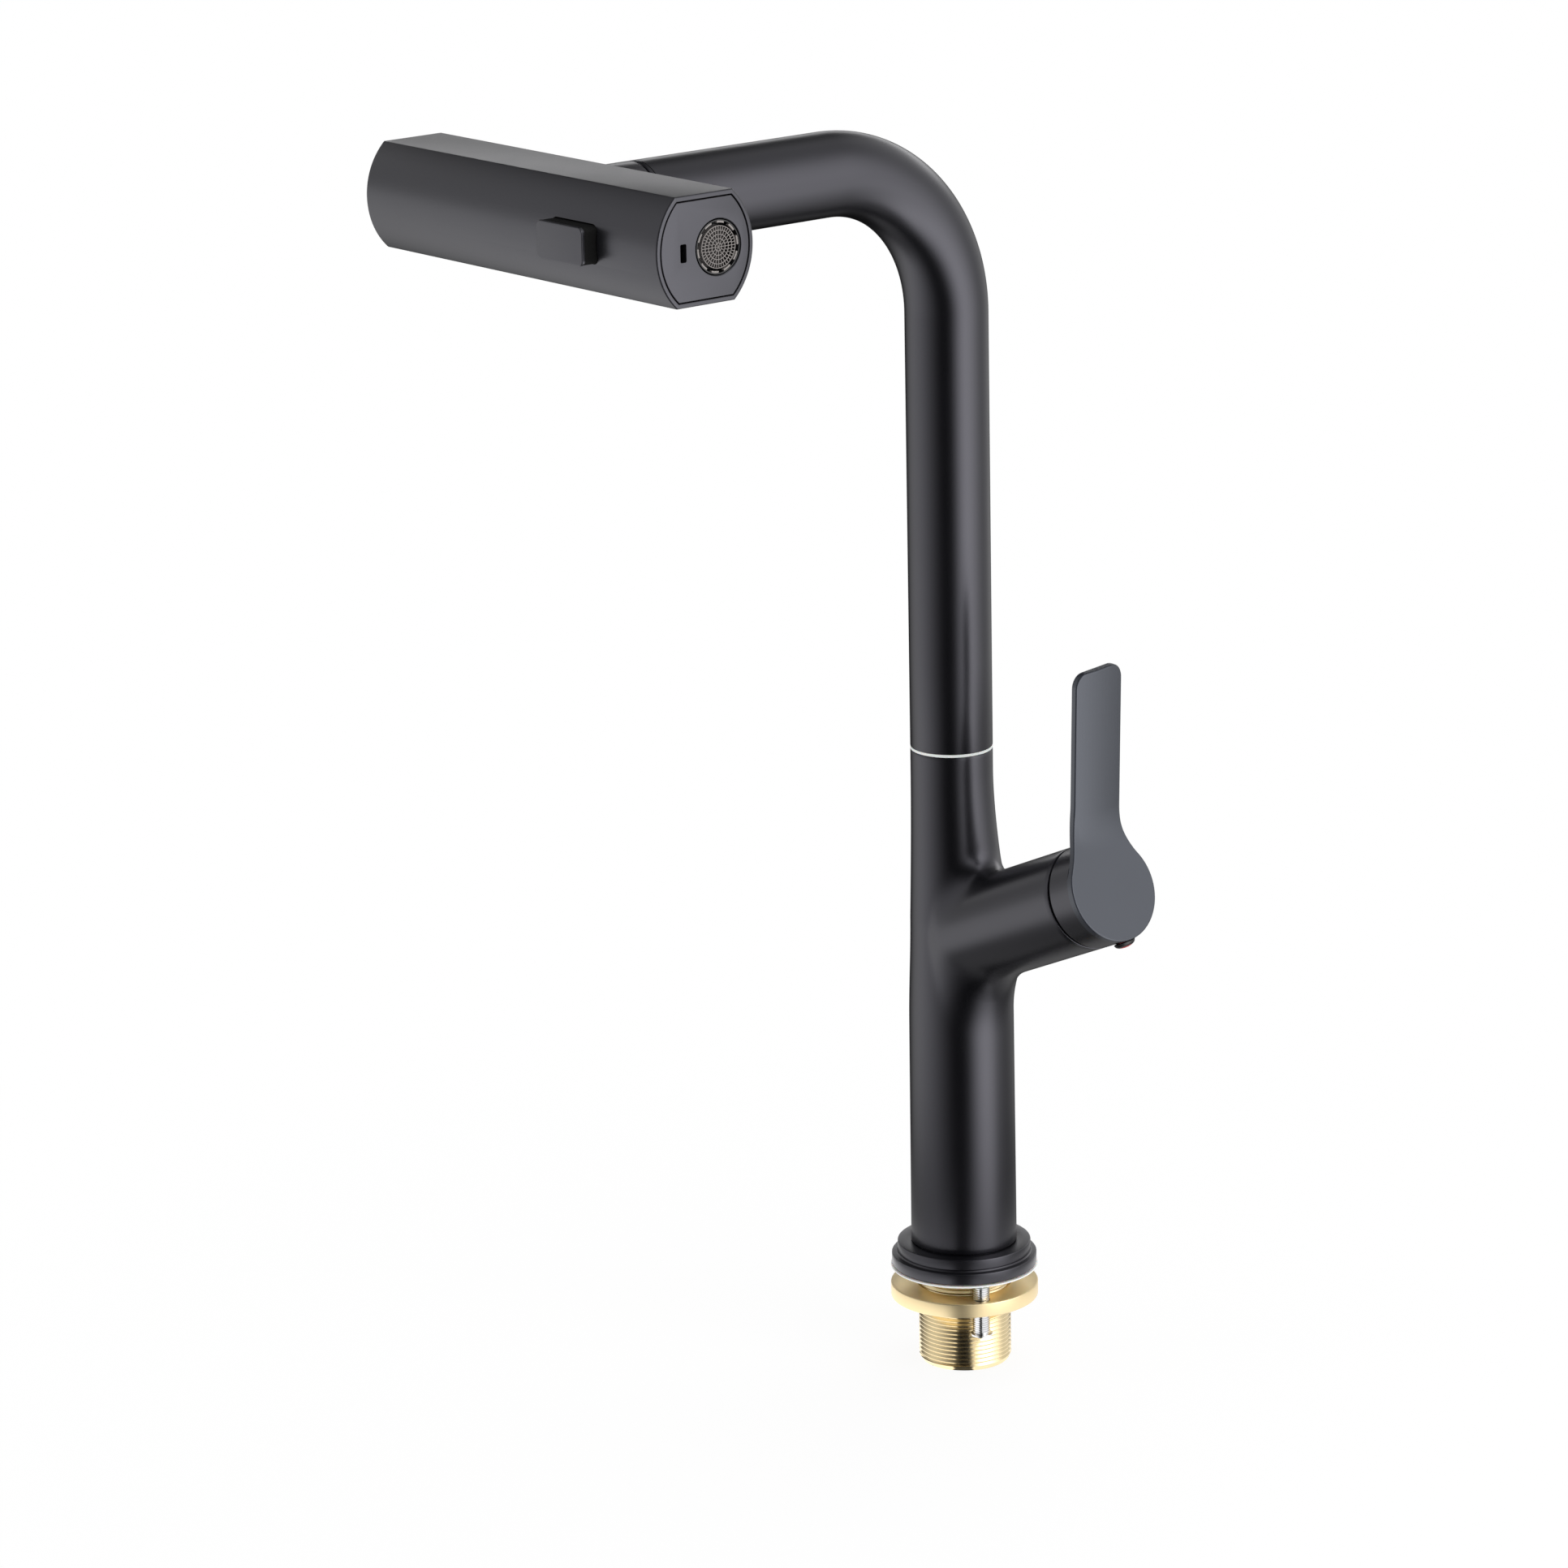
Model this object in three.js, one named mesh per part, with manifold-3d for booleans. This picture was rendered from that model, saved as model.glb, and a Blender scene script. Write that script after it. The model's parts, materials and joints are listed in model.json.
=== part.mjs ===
// Single-lever kitchen faucet with a pull-out bar spray head.
// Millimetres, +Z up. The origin is on the column's axis at the top of the deck.
// The spout reaches along -Y, towards the user, and the lever is on the +X side.

import * as THREE from "three";
import { mergeVertices } from "three/addons/utils/BufferGeometryUtils.js";
import { ParametricGeometry } from "three/addons/geometries/ParametricGeometry.js";
import Module from "manifold-3d";

const wasm = await Module();
wasm.setup();

// ---------------------------------------------------------------- driving dimensions

const CLEAR = 0.3; // gap between neighbouring pieces
const SIDES = 24; // sides of the large round pieces
const INNER_SIDES = 18; // sides of the round pieces inside the body
const SMALL_SIDES = 12; // sides of the small round pieces
const CUT = 1; // how far a cutting tool runs past the face it cuts

const deck = { gasket: 1.2, gasketRadius: 25.4, slack: 1 };

const flange = { lowerRadius: 25.05, lowerHeight: 3.7, upperRadius: 23, upperHeight: 4.35, floor: 3 };

const shank = { radius: 16, wall: 2.4, below: 34, engaged: 15, chamfer: 1.2 };

const nut = { radius: 25.5, thickness: 5, below: 5.9, chamfer: 0.5 };

const clampScrew = {
  radius: 2.5,
  bearing: -25,
  length: 17.5,
  collarRadius: 3.4,
  collarHeight: 1,
  tipRadius: 1.8,
  tipHeight: 1.1,
};

const column = { footRadius: 18.1, topRadius: 17.8, wall: 2.4, tapered: 118, bored: 122 };

const neck = { offset: -3.57, radius: 14, wall: 2.1, start: 163, top: 184.8, bored: 112 };

const barrel = {
  rise: 23.8, // degrees above the horizontal
  root: 118.1,
  radius: 17.6,
  wall: 3.2,
  length: 71.35,
  web: 30,
  webThickness: 4,
  channel: 11.8,
  mouthWall: 2.2,
  mouthDepth: 3,
};

const inlet = { radius: 3.6, bore: 2.3, length: 13, collar: 4.1, collarLength: 2.4 };
const inletPlaces = { hot: [4.2, 6.1], cold: [4.2, -6.1], mixed: [-6.6, 0] };

const cartridge = {
  radius: 12.5,
  wall: 1.5,
  floor: 2.5,
  lip: 3,
  port: 2.4,
  sealThickness: 1.5,
  discThickness: 3,
  sliderRadius: 7.4,
  sliderThickness: 5,
  pocketDepth: 3.7,
};

const retainer = { wall: 3.9, length: 7 };

const turret = { radius: 8.5, flangeFront: 0.6, back: 2.8, front: 8, slotBack: 4.4 };

const stem = {
  ahead: 4.8, // how far both handle axes cross ahead of the sliding disc
  ballArm: 6.2,
  ballRadius: 1.9,
  ballGap: 0.5,
  neckRadius: 1.3,
  hubRadius: 3.6,
  hubBack: 1.8,
  hubFront: 4,
  square: 6,
  underFace: 5.2,
  pinRadius: 1.1,
  pinInset: 1,
};

const handle = {
  gap: 0.5, // between the barrel's end and the hub's rear rim
  radius: 17.6,
  wall: 2.2,
  depth: 12.75,
  plate: 3,
  bossRadius: 6.6,
  bossLength: 14.6,
  bladeWidth: 19.5,
  bladeThickness: 2.4,
  flare: 24,
  bendAt: 21.8,
  bendRadius: 25,
  lean: 25.3, // degrees that the blade turns away from the hub's face
  reach: 70.7,
  corner: 4.6,
};

const grub = { radius: 2, underFace: 6.1 };

const plug = { radius: 3.7, stemRadius: 2.2, dome: 1.3, depth: 1.8 };

const spout = {
  radius: neck.radius,
  wall: 1.6,
  height: 387.1,
  bend: 49.4,
  mouth: -129.7,
  washer: 1,
};

const sleeve = {
  gap: 0.4,
  wall: 2.5,
  below: 33,
  above: 26,
  groove: 1.6,
  grooveWidth: 2.6,
  ringSection: 0.7,
  ringPlaces: [8, 24],
  bearingAt: 15,
  bearingWidth: 4,
  bearingDepth: 1.1,
  screwAt: 29.5,
  screwRadius: 2,
};

const dock = { length: 22, wall: 1.6, lip: 1.2 };

const hose = { radius: 5.5, shortOfMouth: 28.7, bottom: -31, connector: 15, connectorRadius: 6.4, bore: 3 };

const fitting = { radius: 6.6, length: 19, ferrule: 10, ferruleWall: 0.9, sealSection: 0.8 };

const bar = {
  ahead: 31.8, // how far the bar's centre lies beyond the spout's mouth
  halfLength: 75.1,
  halfHeight: 16.9,
  halfDepth: 18.87,
  sideRadius: 22.55,
  wall: 1.5,
  plateGap: 0.4,
  plateThickness: 3,
};

const headNeck = { seam: 0.6, spigot: 20, slack: 0.4, pipe: 8, pipeDepth: 4, waterway: 4 };
const headSeal = { section: 0.7, at: 9 };

const aerator = {
  offset: 4.6,
  radius: 8.94,
  depth: 12,
  core: 6.7,
  recess: 0.6,
  coreDepth: 8,
  notches: 10,
  notchWidth: 2.6,
  notchDepth: 0.9,
  sealThickness: 1.5,
};

const latchWindow = { offset: -8.5, width: 2.4, height: 5.7 };

const button = {
  offset: 33.8,
  width: 23,
  height: 12,
  corner: 2.6,
  proud: 5.5,
  travel: 3,
  rim: 1.2,
  rimThickness: 1.4,
  stemRadius: 2,
  pistonRadius: 4.7,
  pistonLength: 3,
  reach: 21,
};

const spring = { radius: 3.2, wire: 0.4, turns: 4.5, stepsPerTurn: 10 };

const gland = { depth: 3.2, thickness: 2.2 };

const block = { behind: 1.2, halfHeight: 8, left: 14, right: 47, corner: 3, bore: 4, diverter: 5 };

const sprayPlate = { offset: -8, length: 84, width: 13, thickness: 3.4, proud: 0.6, nozzles: 11, hole: 1.1 };

const sprayChamber = { wall: 1.6, roof: 1.5 };

const checkValve = { length: 9, bore: 1.6, inset: 3 };

// ---------------------------------------------------------------- places that follow

const webFront = barrel.web + barrel.webThickness;
const sealBack = webFront + CLEAR;
const housingBack = sealBack + cartridge.sealThickness + CLEAR;
const discBack = housingBack + cartridge.floor + CLEAR;
const sliderBack = discBack + cartridge.discThickness + CLEAR;
const sliderFront = sliderBack + cartridge.sliderThickness;
const pivot = sliderFront + stem.ahead;
const lipBack = pivot + turret.flangeFront + CLEAR;
const housingFront = lipBack + cartridge.lip;
const housingInner = cartridge.radius - cartridge.wall;

const rimBack = barrel.length + handle.gap;
const handleFront = rimBack + handle.depth;
const stemEnd = handleFront - stem.underFace;
const bossBack = handleFront - handle.bossLength;
const grubAlong = handleFront - grub.underFace;

const washerTop = neck.top + spout.washer;
const sleeveRadius = neck.radius - neck.wall - sleeve.gap;
const spoutBore = spout.radius - spout.wall;
const spigotRadius = spoutBore - dock.wall - 2 * CLEAR;

const hoseStart = hose.bottom + hose.connector;
const hoseEnd = spout.mouth + hose.shortOfMouth;
const fittingBack = hoseEnd - CLEAR;
const fittingFront = fittingBack - fitting.length;

const barCentreY = spout.mouth - bar.ahead;
const barFront = -bar.halfDepth;
const seam = bar.ahead - headNeck.seam;
const pipeEnd = bar.halfDepth - bar.wall - headNeck.pipeDepth;
const buttonFront = barFront - button.proud;
const buttonBack = barFront + bar.wall + CLEAR + button.rimThickness;
const blockFront = buttonBack + button.travel + block.behind;
const blockBack = pipeEnd - CLEAR;
const aeratorBack = bar.halfLength - aerator.depth;
const sprayPlateTop = sprayPlate.thickness - bar.halfHeight - sprayPlate.proud;
const glandFront = blockFront + gland.depth;
const glandBack = glandFront + gland.thickness;

// ---------------------------------------------------------------- materials

const finishes = {
  blackCoat: { color: 0x26262a, roughness: 0.5, metalness: 0.1 },
  headCoat: { color: 0x37383c, roughness: 0.55, metalness: 0.1 },
  leverCoat: { color: 0x34373b, roughness: 0.5, metalness: 0.1 },
  brass: { color: 0xcfa75e, roughness: 0.35, metalness: 1 },
  steel: { color: 0xb9bbbe, roughness: 0.3, metalness: 1 },
  whitePlastic: { color: 0xe8e8e6, roughness: 0.5, metalness: 0 },
  blackPlastic: { color: 0x1b1b1d, roughness: 0.5, metalness: 0 },
  greyPlastic: { color: 0x9fa1a3, roughness: 0.5, metalness: 0 },
  clearRubber: { color: 0xd9dad8, roughness: 0.45, metalness: 0 },
  blackRubber: { color: 0x141414, roughness: 0.8, metalness: 0 },
  ceramic: { color: 0xf0efe8, roughness: 0.2, metalness: 0 },
  greyBraid: { color: 0x77787b, roughness: 0.7, metalness: 0 },
  indexRed: { color: 0x5d1f22, roughness: 0.4, metalness: 0 },
};

function finish(name) {
  return new THREE.MeshStandardMaterial(finishes[name]);
}

// ---------------------------------------------------------------- shape helpers

const radians = THREE.MathUtils.degToRad;
const X = new THREE.Vector3(1, 0, 0);
const Y = new THREE.Vector3(0, 1, 0);

// A solid turned about Z from [radius, height] pairs; it closes on the axis or on itself.
function turned(profile, sides = SIDES) {
  const points = profile.map(([radius, height]) => new THREE.Vector2(radius, height));
  return outward(new THREE.LatheGeometry(points, sides).rotateX(Math.PI / 2));
}

function rod(radius, low, high, sides = SIDES) {
  return turned([[0, low], [radius, low], [radius, high], [0, high]], sides);
}

function ring(outer, inner, low, high, sides = SIDES) {
  return turned([[inner, low], [outer, low], [outer, high], [inner, high], [inner, low]], sides);
}

// An O-ring about Z, of round section.
function oRing(radius, section, height, sides = INNER_SIDES) {
  return outward(new THREE.TorusGeometry(radius, section, 6, sides).translate(0, 0, height));
}

function box(size, centre) {
  return new THREE.BoxGeometry(...size).translate(...centre);
}

// Round rings joined in a row: each has a centre, two unit directions and a radius.
function lofted(rings, sides = SIDES) {
  const place = (u, v, target) => {
    const ringHere = rings[Math.round(v * (rings.length - 1))];
    const turn = u * 2 * Math.PI;
    target.copy(ringHere.centre);
    target.addScaledVector(ringHere.across, ringHere.radius * Math.cos(turn));
    target.addScaledVector(ringHere.up, ringHere.radius * Math.sin(turn));
  };
  return outward(new ParametricGeometry(place, sides, rings.length - 1));
}

function extruded(shape, depth, curveSegments = 10) {
  return new THREE.ExtrudeGeometry(shape, { depth, bevelEnabled: false, curveSegments });
}

// A rectangle with round corners; grow makes it larger all round.
function roundedRectangle(width, height, corner, grow = 0) {
  const x = width / 2 + grow;
  const y = height / 2 + grow;
  const r = corner + grow;
  const shape = new THREE.Shape();
  shape.absarc(x - r, y - r, r, 0, Math.PI / 2);
  shape.absarc(r - x, y - r, r, Math.PI / 2, Math.PI);
  shape.absarc(r - x, r - y, r, Math.PI, Math.PI * 1.5);
  shape.absarc(x - r, r - y, r, Math.PI * 1.5, Math.PI * 2);
  return shape;
}

// Turns a geometry's faces outwards if its signed volume says that they point in.
function outward(geometry) {
  const flat = geometry.index ? geometry.toNonIndexed() : geometry;
  const position = flat.attributes.position;
  const corners = [new THREE.Vector3(), new THREE.Vector3(), new THREE.Vector3()];
  let volume = 0;
  for (let i = 0; i < position.count; i += 3) {
    corners.forEach((corner, k) => corner.fromBufferAttribute(position, i + k));
    volume += corners[0].dot(corners[1].clone().cross(corners[2]));
  }
  if (volume > 0) {
    return flat;
  }
  for (let i = 0; i < position.count; i += 3) {
    corners.forEach((corner, k) => corner.fromBufferAttribute(position, i + k));
    position.setXYZ(i + 1, ...corners[2]);
    position.setXYZ(i + 2, ...corners[1]);
  }
  return flat;
}

function manifoldOf(geometry) {
  const bare = geometry.clone();
  bare.deleteAttribute("normal");
  bare.deleteAttribute("uv");
  const merged = mergeVertices(bare, 1e-4);
  const index = merged.index.array;
  const kept = [];
  for (let i = 0; i < index.length; i += 3) {
    const [a, b, c] = [index[i], index[i + 1], index[i + 2]];
    if (a !== b && b !== c && c !== a) {
      kept.push(a, b, c);
    }
  }
  const vertProperties = Float32Array.from(merged.attributes.position.array);
  const triVerts = Uint32Array.from(kept);
  return new wasm.Manifold(new wasm.Mesh({ numProp: 3, vertProperties, triVerts }));
}

function geometryOf(manifold) {
  const mesh = manifold.getMesh();
  const geometry = new THREE.BufferGeometry();
  geometry.setAttribute("position", new THREE.BufferAttribute(mesh.vertProperties, 3));
  geometry.setIndex(new THREE.BufferAttribute(mesh.triVerts, 1));
  const flat = geometry.toNonIndexed();
  flat.computeVertexNormals();
  return flat;
}

// The first geometries joined, with the later ones cut away.
function shaped(joined, cutters = []) {
  const whole = joined.map(manifoldOf).reduce((sum, next) => sum.add(next));
  return geometryOf(cutters.map(manifoldOf).reduce((rest, next) => rest.subtract(next), whole));
}

function common(first, second) {
  return geometryOf(manifoldOf(first).intersect(manifoldOf(second)));
}

// Lays a geometry made about Z along X or Y.
function alongX(geometry) {
  return geometry.rotateY(Math.PI / 2);
}

function alongY(geometry) {
  return geometry.rotateX(-Math.PI / 2);
}

function piece(name, geometry, finishName) {
  const mesh = new THREE.Mesh(geometry, finish(finishName));
  mesh.name = name;
  return mesh;
}

// ---------------------------------------------------------------- groups

const faucet = new THREE.Group();

// The spout's axis: everything that swivels is about this group's Z.
const swivel = new THREE.Group();
swivel.position.x = neck.offset;
faucet.add(swivel);

// The barrel's axis: Z runs out along the barrel and X points down.
const side = new THREE.Group();
side.position.z = barrel.root;
side.rotation.y = radians(90 - barrel.rise);
faucet.add(side);

// The spray head's centre.
const head = new THREE.Group();
head.position.set(neck.offset, barCentreY, spout.height);
faucet.add(head);

// ---------------------------------------------------------------- base and fixing

const flangeBottom = deck.gasket;
const columnFoot = flangeBottom + flange.floor;
const flangeTop = flangeBottom + flange.lowerHeight + flange.upperHeight;

function deckGasket() {
  const geometry = ring(deck.gasketRadius, shank.radius + deck.slack, 0, deck.gasket);
  return piece("deck_gasket", geometry, "clearRubber");
}

function baseFlange() {
  const step = flangeBottom + flange.lowerHeight;
  const shankHole = shank.radius + CLEAR;
  const columnHole = column.footRadius + CLEAR;
  const geometry = turned([
    [shankHole, flangeBottom],
    [flange.lowerRadius, flangeBottom],
    [flange.lowerRadius, step],
    [flange.upperRadius, step],
    [flange.upperRadius, flangeTop],
    [columnHole, flangeTop],
    [columnHole, columnFoot],
    [shankHole, columnFoot],
    [shankHole, flangeBottom],
  ]);
  return piece("base_flange", geometry, "blackCoat");
}

function mountingShank() {
  const bore = shank.radius - shank.wall;
  const geometry = turned([
    [bore, -shank.below],
    [shank.radius - shank.chamfer, -shank.below],
    [shank.radius, shank.chamfer - shank.below],
    [shank.radius, columnFoot + shank.engaged],
    [bore, columnFoot + shank.engaged],
    [bore, -shank.below],
  ]);
  return piece("mounting_shank", geometry, "brass");
}

function clampScrewPlace(turn) {
  const bearing = radians(clampScrew.bearing + turn);
  const circle = (nut.radius + shank.radius) / 2;
  return [circle * Math.cos(bearing), circle * Math.sin(bearing), 0];
}

function lockNut() {
  const top = -nut.below;
  const bottom = top - nut.thickness;
  const bore = shank.radius + CLEAR;
  const blank = turned([
    [bore, bottom],
    [nut.radius - nut.chamfer, bottom],
    [nut.radius, bottom + nut.chamfer],
    [nut.radius, top - nut.chamfer],
    [nut.radius - nut.chamfer, top],
    [bore, top],
    [bore, bottom],
  ]);
  const holes = [0, 180].map((turn) =>
    rod(clampScrew.radius + CLEAR, bottom - CUT, top + CUT, SMALL_SIDES).translate(...clampScrewPlace(turn)),
  );
  return piece("lock_nut", shaped([blank], holes), "brass");
}

function clampScrewPiece(name, turn) {
  const top = -CLEAR;
  const collarTop = top - clampScrew.length;
  const collarBottom = collarTop - clampScrew.collarHeight;
  const tipBottom = collarBottom - clampScrew.tipHeight;
  const geometry = turned([
    [0, tipBottom],
    [clampScrew.tipRadius, tipBottom],
    [clampScrew.tipRadius, collarBottom],
    [clampScrew.collarRadius, collarBottom],
    [clampScrew.collarRadius, collarTop],
    [clampScrew.radius, collarTop],
    [clampScrew.radius, top],
    [0, top],
  ], SMALL_SIDES);
  return piece(name, geometry.translate(...clampScrewPlace(turn)), "steel");
}

// ---------------------------------------------------------------- body

// A level ring whose centre lies off the column's axis along X.
function levelRing(x, radius, height) {
  return { centre: new THREE.Vector3(x, 0, height), across: X, up: Y, radius };
}

// How far the body has turned from column to neck at a height: 0 below, 1 above.
function towerBlend(height) {
  return THREE.MathUtils.smoothstep(height, column.tapered, neck.start);
}

function towerRings() {
  const rings = [levelRing(0, 0, columnFoot), levelRing(0, column.footRadius, columnFoot)];
  const steps = 6;
  for (let i = 0; i <= steps; i += 1) {
    const height = column.tapered + ((neck.start - column.tapered) * i) / steps;
    const blend = towerBlend(height);
    const radius = THREE.MathUtils.lerp(column.topRadius, neck.radius, blend);
    rings.push(levelRing(neck.offset * blend, radius, height));
  }
  rings.push(levelRing(neck.offset, neck.radius, neck.top));
  rings.push(levelRing(neck.offset, 0, neck.top));
  return rings;
}

function inBarrelFrame(geometry) {
  return geometry.rotateY(side.rotation.y).translate(0, 0, barrel.root);
}

function faucetBody() {
  const columnBore = column.topRadius - column.wall;
  const neckBore = neck.radius - neck.wall;
  const barrelBore = barrel.radius - barrel.wall;
  const mouthStart = barrel.length - barrel.mouthDepth;
  const screwHeight = neck.top - sleeve.screwAt;
  const tower = lofted(towerRings());
  const arm = inBarrelFrame(rod(barrel.radius, 0, barrel.length));
  const ports = Object.values(inletPlaces).map(([x, y]) => {
    const port = rod(inlet.radius + CLEAR, barrel.web - CUT, webFront + CUT, SMALL_SIDES);
    return inBarrelFrame(port.translate(x, y, 0));
  });
  const cutters = [
    rod(shank.radius + CLEAR, columnFoot - CUT, columnFoot + shank.engaged + CLEAR),
    rod(columnBore, columnFoot, column.bored),
    rod(neckBore, neck.bored, neck.top + CUT).translate(neck.offset, 0, 0),
    inBarrelFrame(rod(barrel.channel, 0, barrel.web)),
    inBarrelFrame(rod(barrelBore, webFront, barrel.length + CUT)),
    inBarrelFrame(rod(barrel.radius - barrel.mouthWall, mouthStart, barrel.length + CUT)),
    alongY(rod(sleeve.screwRadius + CLEAR, 0, neck.radius + CUT, SMALL_SIDES)).translate(
      neck.offset,
      0,
      screwHeight,
    ),
    ...ports,
  ];
  return piece("faucet_body", shaped([tower, arm], cutters), "blackCoat");
}

// A threaded socket for a supply hose, seated in the body's web from the column side.
function inletNipple(name, [x, y], finishName) {
  const shoulder = barrel.web - CLEAR;
  const back = shoulder - inlet.length;
  const geometry = turned([
    [inlet.bore, back],
    [inlet.radius, back],
    [inlet.radius, shoulder - inlet.collarLength],
    [inlet.collar, shoulder - inlet.collarLength],
    [inlet.collar, shoulder],
    [inlet.radius, shoulder],
    [inlet.radius, webFront],
    [inlet.bore, webFront],
    [inlet.bore, back],
  ], SMALL_SIDES);
  return piece(name, geometry.translate(x, y, 0), finishName);
}

// ---------------------------------------------------------------- cartridge

function portTools(low, high) {
  return Object.values(inletPlaces).map(([x, y]) =>
    rod(cartridge.port, low - CUT, high + CUT, SMALL_SIDES).translate(x, y, 0),
  );
}

function portedDisc(name, radius, back, thickness, finishName) {
  const disc = rod(radius, back, back + thickness, INNER_SIDES);
  return piece(name, shaped([disc], portTools(back, back + thickness)), finishName);
}

function cartridgeHousing() {
  const mouth = turret.radius + CLEAR;
  const floorFront = housingBack + cartridge.floor;
  const cup = turned([
    [0, housingBack],
    [cartridge.radius, housingBack],
    [cartridge.radius, housingFront],
    [mouth, housingFront],
    [mouth, lipBack],
    [housingInner, lipBack],
    [housingInner, floorFront],
    [0, floorFront],
  ], INNER_SIDES);
  const geometry = shaped([cup], portTools(housingBack, floorFront));
  return piece("cartridge_housing", geometry, "whitePlastic");
}

// The upper ceramic disc and its carrier, slid by the ball on the stem's inner end.
function slidingDisc() {
  const pocket = stem.ballRadius + stem.ballGap;
  const pocketFloor = sliderFront - cartridge.pocketDepth;
  const geometry = turned([
    [0, sliderBack],
    [cartridge.sliderRadius, sliderBack],
    [cartridge.sliderRadius, sliderFront],
    [pocket, sliderFront],
    [pocket, pocketFloor],
    [0, pocketFloor],
  ], SMALL_SIDES);
  return piece("sliding_ceramic_disc", geometry, "ceramic");
}

function cartridgeNut() {
  const outer = barrel.radius - barrel.wall - CLEAR;
  const back = housingFront + CLEAR;
  const geometry = ring(outer, outer - retainer.wall, back, back + retainer.length, INNER_SIDES);
  return piece("cartridge_nut", geometry, "brass");
}

function cartridgeTurret() {
  const back = pivot - turret.back;
  const step = pivot + turret.flangeFront;
  const front = pivot + turret.front;
  const rim = housingInner - CLEAR;
  const slotWidth = 2 * (stem.hubRadius + CLEAR);
  const slotLength = rim + CUT + turret.slotBack;
  const slotCentre = (rim + CUT - turret.slotBack) / 2;
  const blank = turned([
    [0, back],
    [rim, back],
    [rim, step],
    [turret.radius, step],
    [turret.radius, front],
    [0, front],
  ], INNER_SIDES);
  const slot = box([slotLength, slotWidth, turret.back + turret.front + 2 * CUT], [
    slotCentre,
    0,
    (back + front) / 2,
  ]);
  const pinEnd = turret.radius - stem.pinInset + CLEAR;
  const pinHole = alongY(rod(stem.pinRadius + CLEAR, -pinEnd, pinEnd, SMALL_SIDES));
  const geometry = shaped([blank], [slot, pinHole.translate(0, 0, pivot)]);
  return piece("cartridge_turret", geometry, "greyPlastic");
}

function stemPin() {
  const end = turret.radius - stem.pinInset;
  const geometry = alongY(rod(stem.pinRadius, -end, end, SMALL_SIDES));
  return piece("stem_pivot_pin", geometry.translate(0, 0, pivot), "steel");
}

function cartridgeStem() {
  const ballCentre = pivot - stem.ballArm;
  const hubBack = pivot - stem.hubBack;
  const hubFront = pivot + stem.hubFront;
  const profile = [];
  const steps = 8;
  const neckTurn = Math.PI - Math.asin(stem.neckRadius / stem.ballRadius);
  for (let i = 0; i <= steps; i += 1) {
    const turn = (neckTurn * i) / steps;
    profile.push([stem.ballRadius * Math.sin(turn), ballCentre - stem.ballRadius * Math.cos(turn)]);
  }
  profile.push([stem.neckRadius, hubBack], [stem.hubRadius, hubBack]);
  profile.push([stem.hubRadius, hubFront], [0, hubFront]);
  const squareLength = stemEnd - hubFront + CUT;
  const square = box([stem.square, stem.square, squareLength], [0, 0, stemEnd - squareLength / 2]);
  const holeEnd = stem.hubRadius + CUT;
  const pinHole = alongY(rod(stem.pinRadius + CLEAR, -holeEnd, holeEnd, SMALL_SIDES));
  const geometry = shaped([turned(profile, SMALL_SIDES), square], [pinHole.translate(0, 0, pivot)]);
  return piece("cartridge_stem", geometry, "brass");
}

// ---------------------------------------------------------------- handle

// The lever's outline seen along the barrel: a disc that narrows into a blade along -X.
function leverFace() {
  const half = handle.bladeWidth / 2;
  const flareY = half + handle.flare;
  const reach = handle.radius + handle.flare;
  const flareX = -Math.sqrt(reach * reach - flareY * flareY);
  const meet = Math.atan2(flareY, -flareX);
  const end = -handle.reach;
  const shape = new THREE.Shape();
  shape.absarc(0, 0, handle.radius, meet - Math.PI, Math.PI - meet, false);
  shape.absarc(flareX, flareY, handle.flare, -meet, -Math.PI / 2, true);
  shape.absarc(end + handle.corner, half - handle.corner, handle.corner, Math.PI / 2, Math.PI, false);
  shape.absarc(end + handle.corner, handle.corner - half, handle.corner, Math.PI, Math.PI * 1.5, false);
  shape.absarc(flareX, -flareY, handle.flare, Math.PI / 2, meet, true);
  return shape;
}

// The lever's side: a plate that bends away from the hub's face by the lean angle.
function leverSide() {
  const lean = radians(handle.lean);
  const tangent = handle.bendRadius * Math.tan(lean / 2);
  const bendStart = handle.bendAt - tangent;
  const bendCentre = handleFront + handle.bendRadius;
  const front = handleFront;
  const back = front - handle.bladeThickness;
  const far = handle.reach - handle.bendAt + handle.bendRadius;
  const tipX = handle.bendAt + far * Math.cos(lean);
  const tipZ = front + far * Math.sin(lean);
  const shape = new THREE.Shape();
  shape.moveTo(-handle.radius - CUT, front);
  shape.lineTo(-handle.radius - CUT, back);
  const outer = handle.bendRadius + handle.bladeThickness;
  shape.absarc(bendStart, bendCentre, outer, -Math.PI / 2, lean - Math.PI / 2, false);
  shape.lineTo(tipX + handle.bladeThickness * Math.sin(lean), tipZ - handle.bladeThickness * Math.cos(lean));
  shape.lineTo(tipX, tipZ);
  shape.absarc(bendStart, bendCentre, handle.bendRadius, lean - Math.PI / 2, -Math.PI / 2, true);
  return shape;
}

function leverPlate() {
  const face = extruded(leverFace(), handle.reach + handleFront, 7);
  const width = 2 * (handle.radius + CUT);
  const sideways = extruded(leverSide(), width, 5);
  const toBarrelFrame = new THREE.Matrix4().makeBasis(
    new THREE.Vector3(-1, 0, 0),
    new THREE.Vector3(0, 0, 1),
    new THREE.Vector3(0, 1, 0),
  );
  sideways.applyMatrix4(toBarrelFrame).translate(0, -width / 2, 0);
  return common(face, sideways);
}

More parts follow.
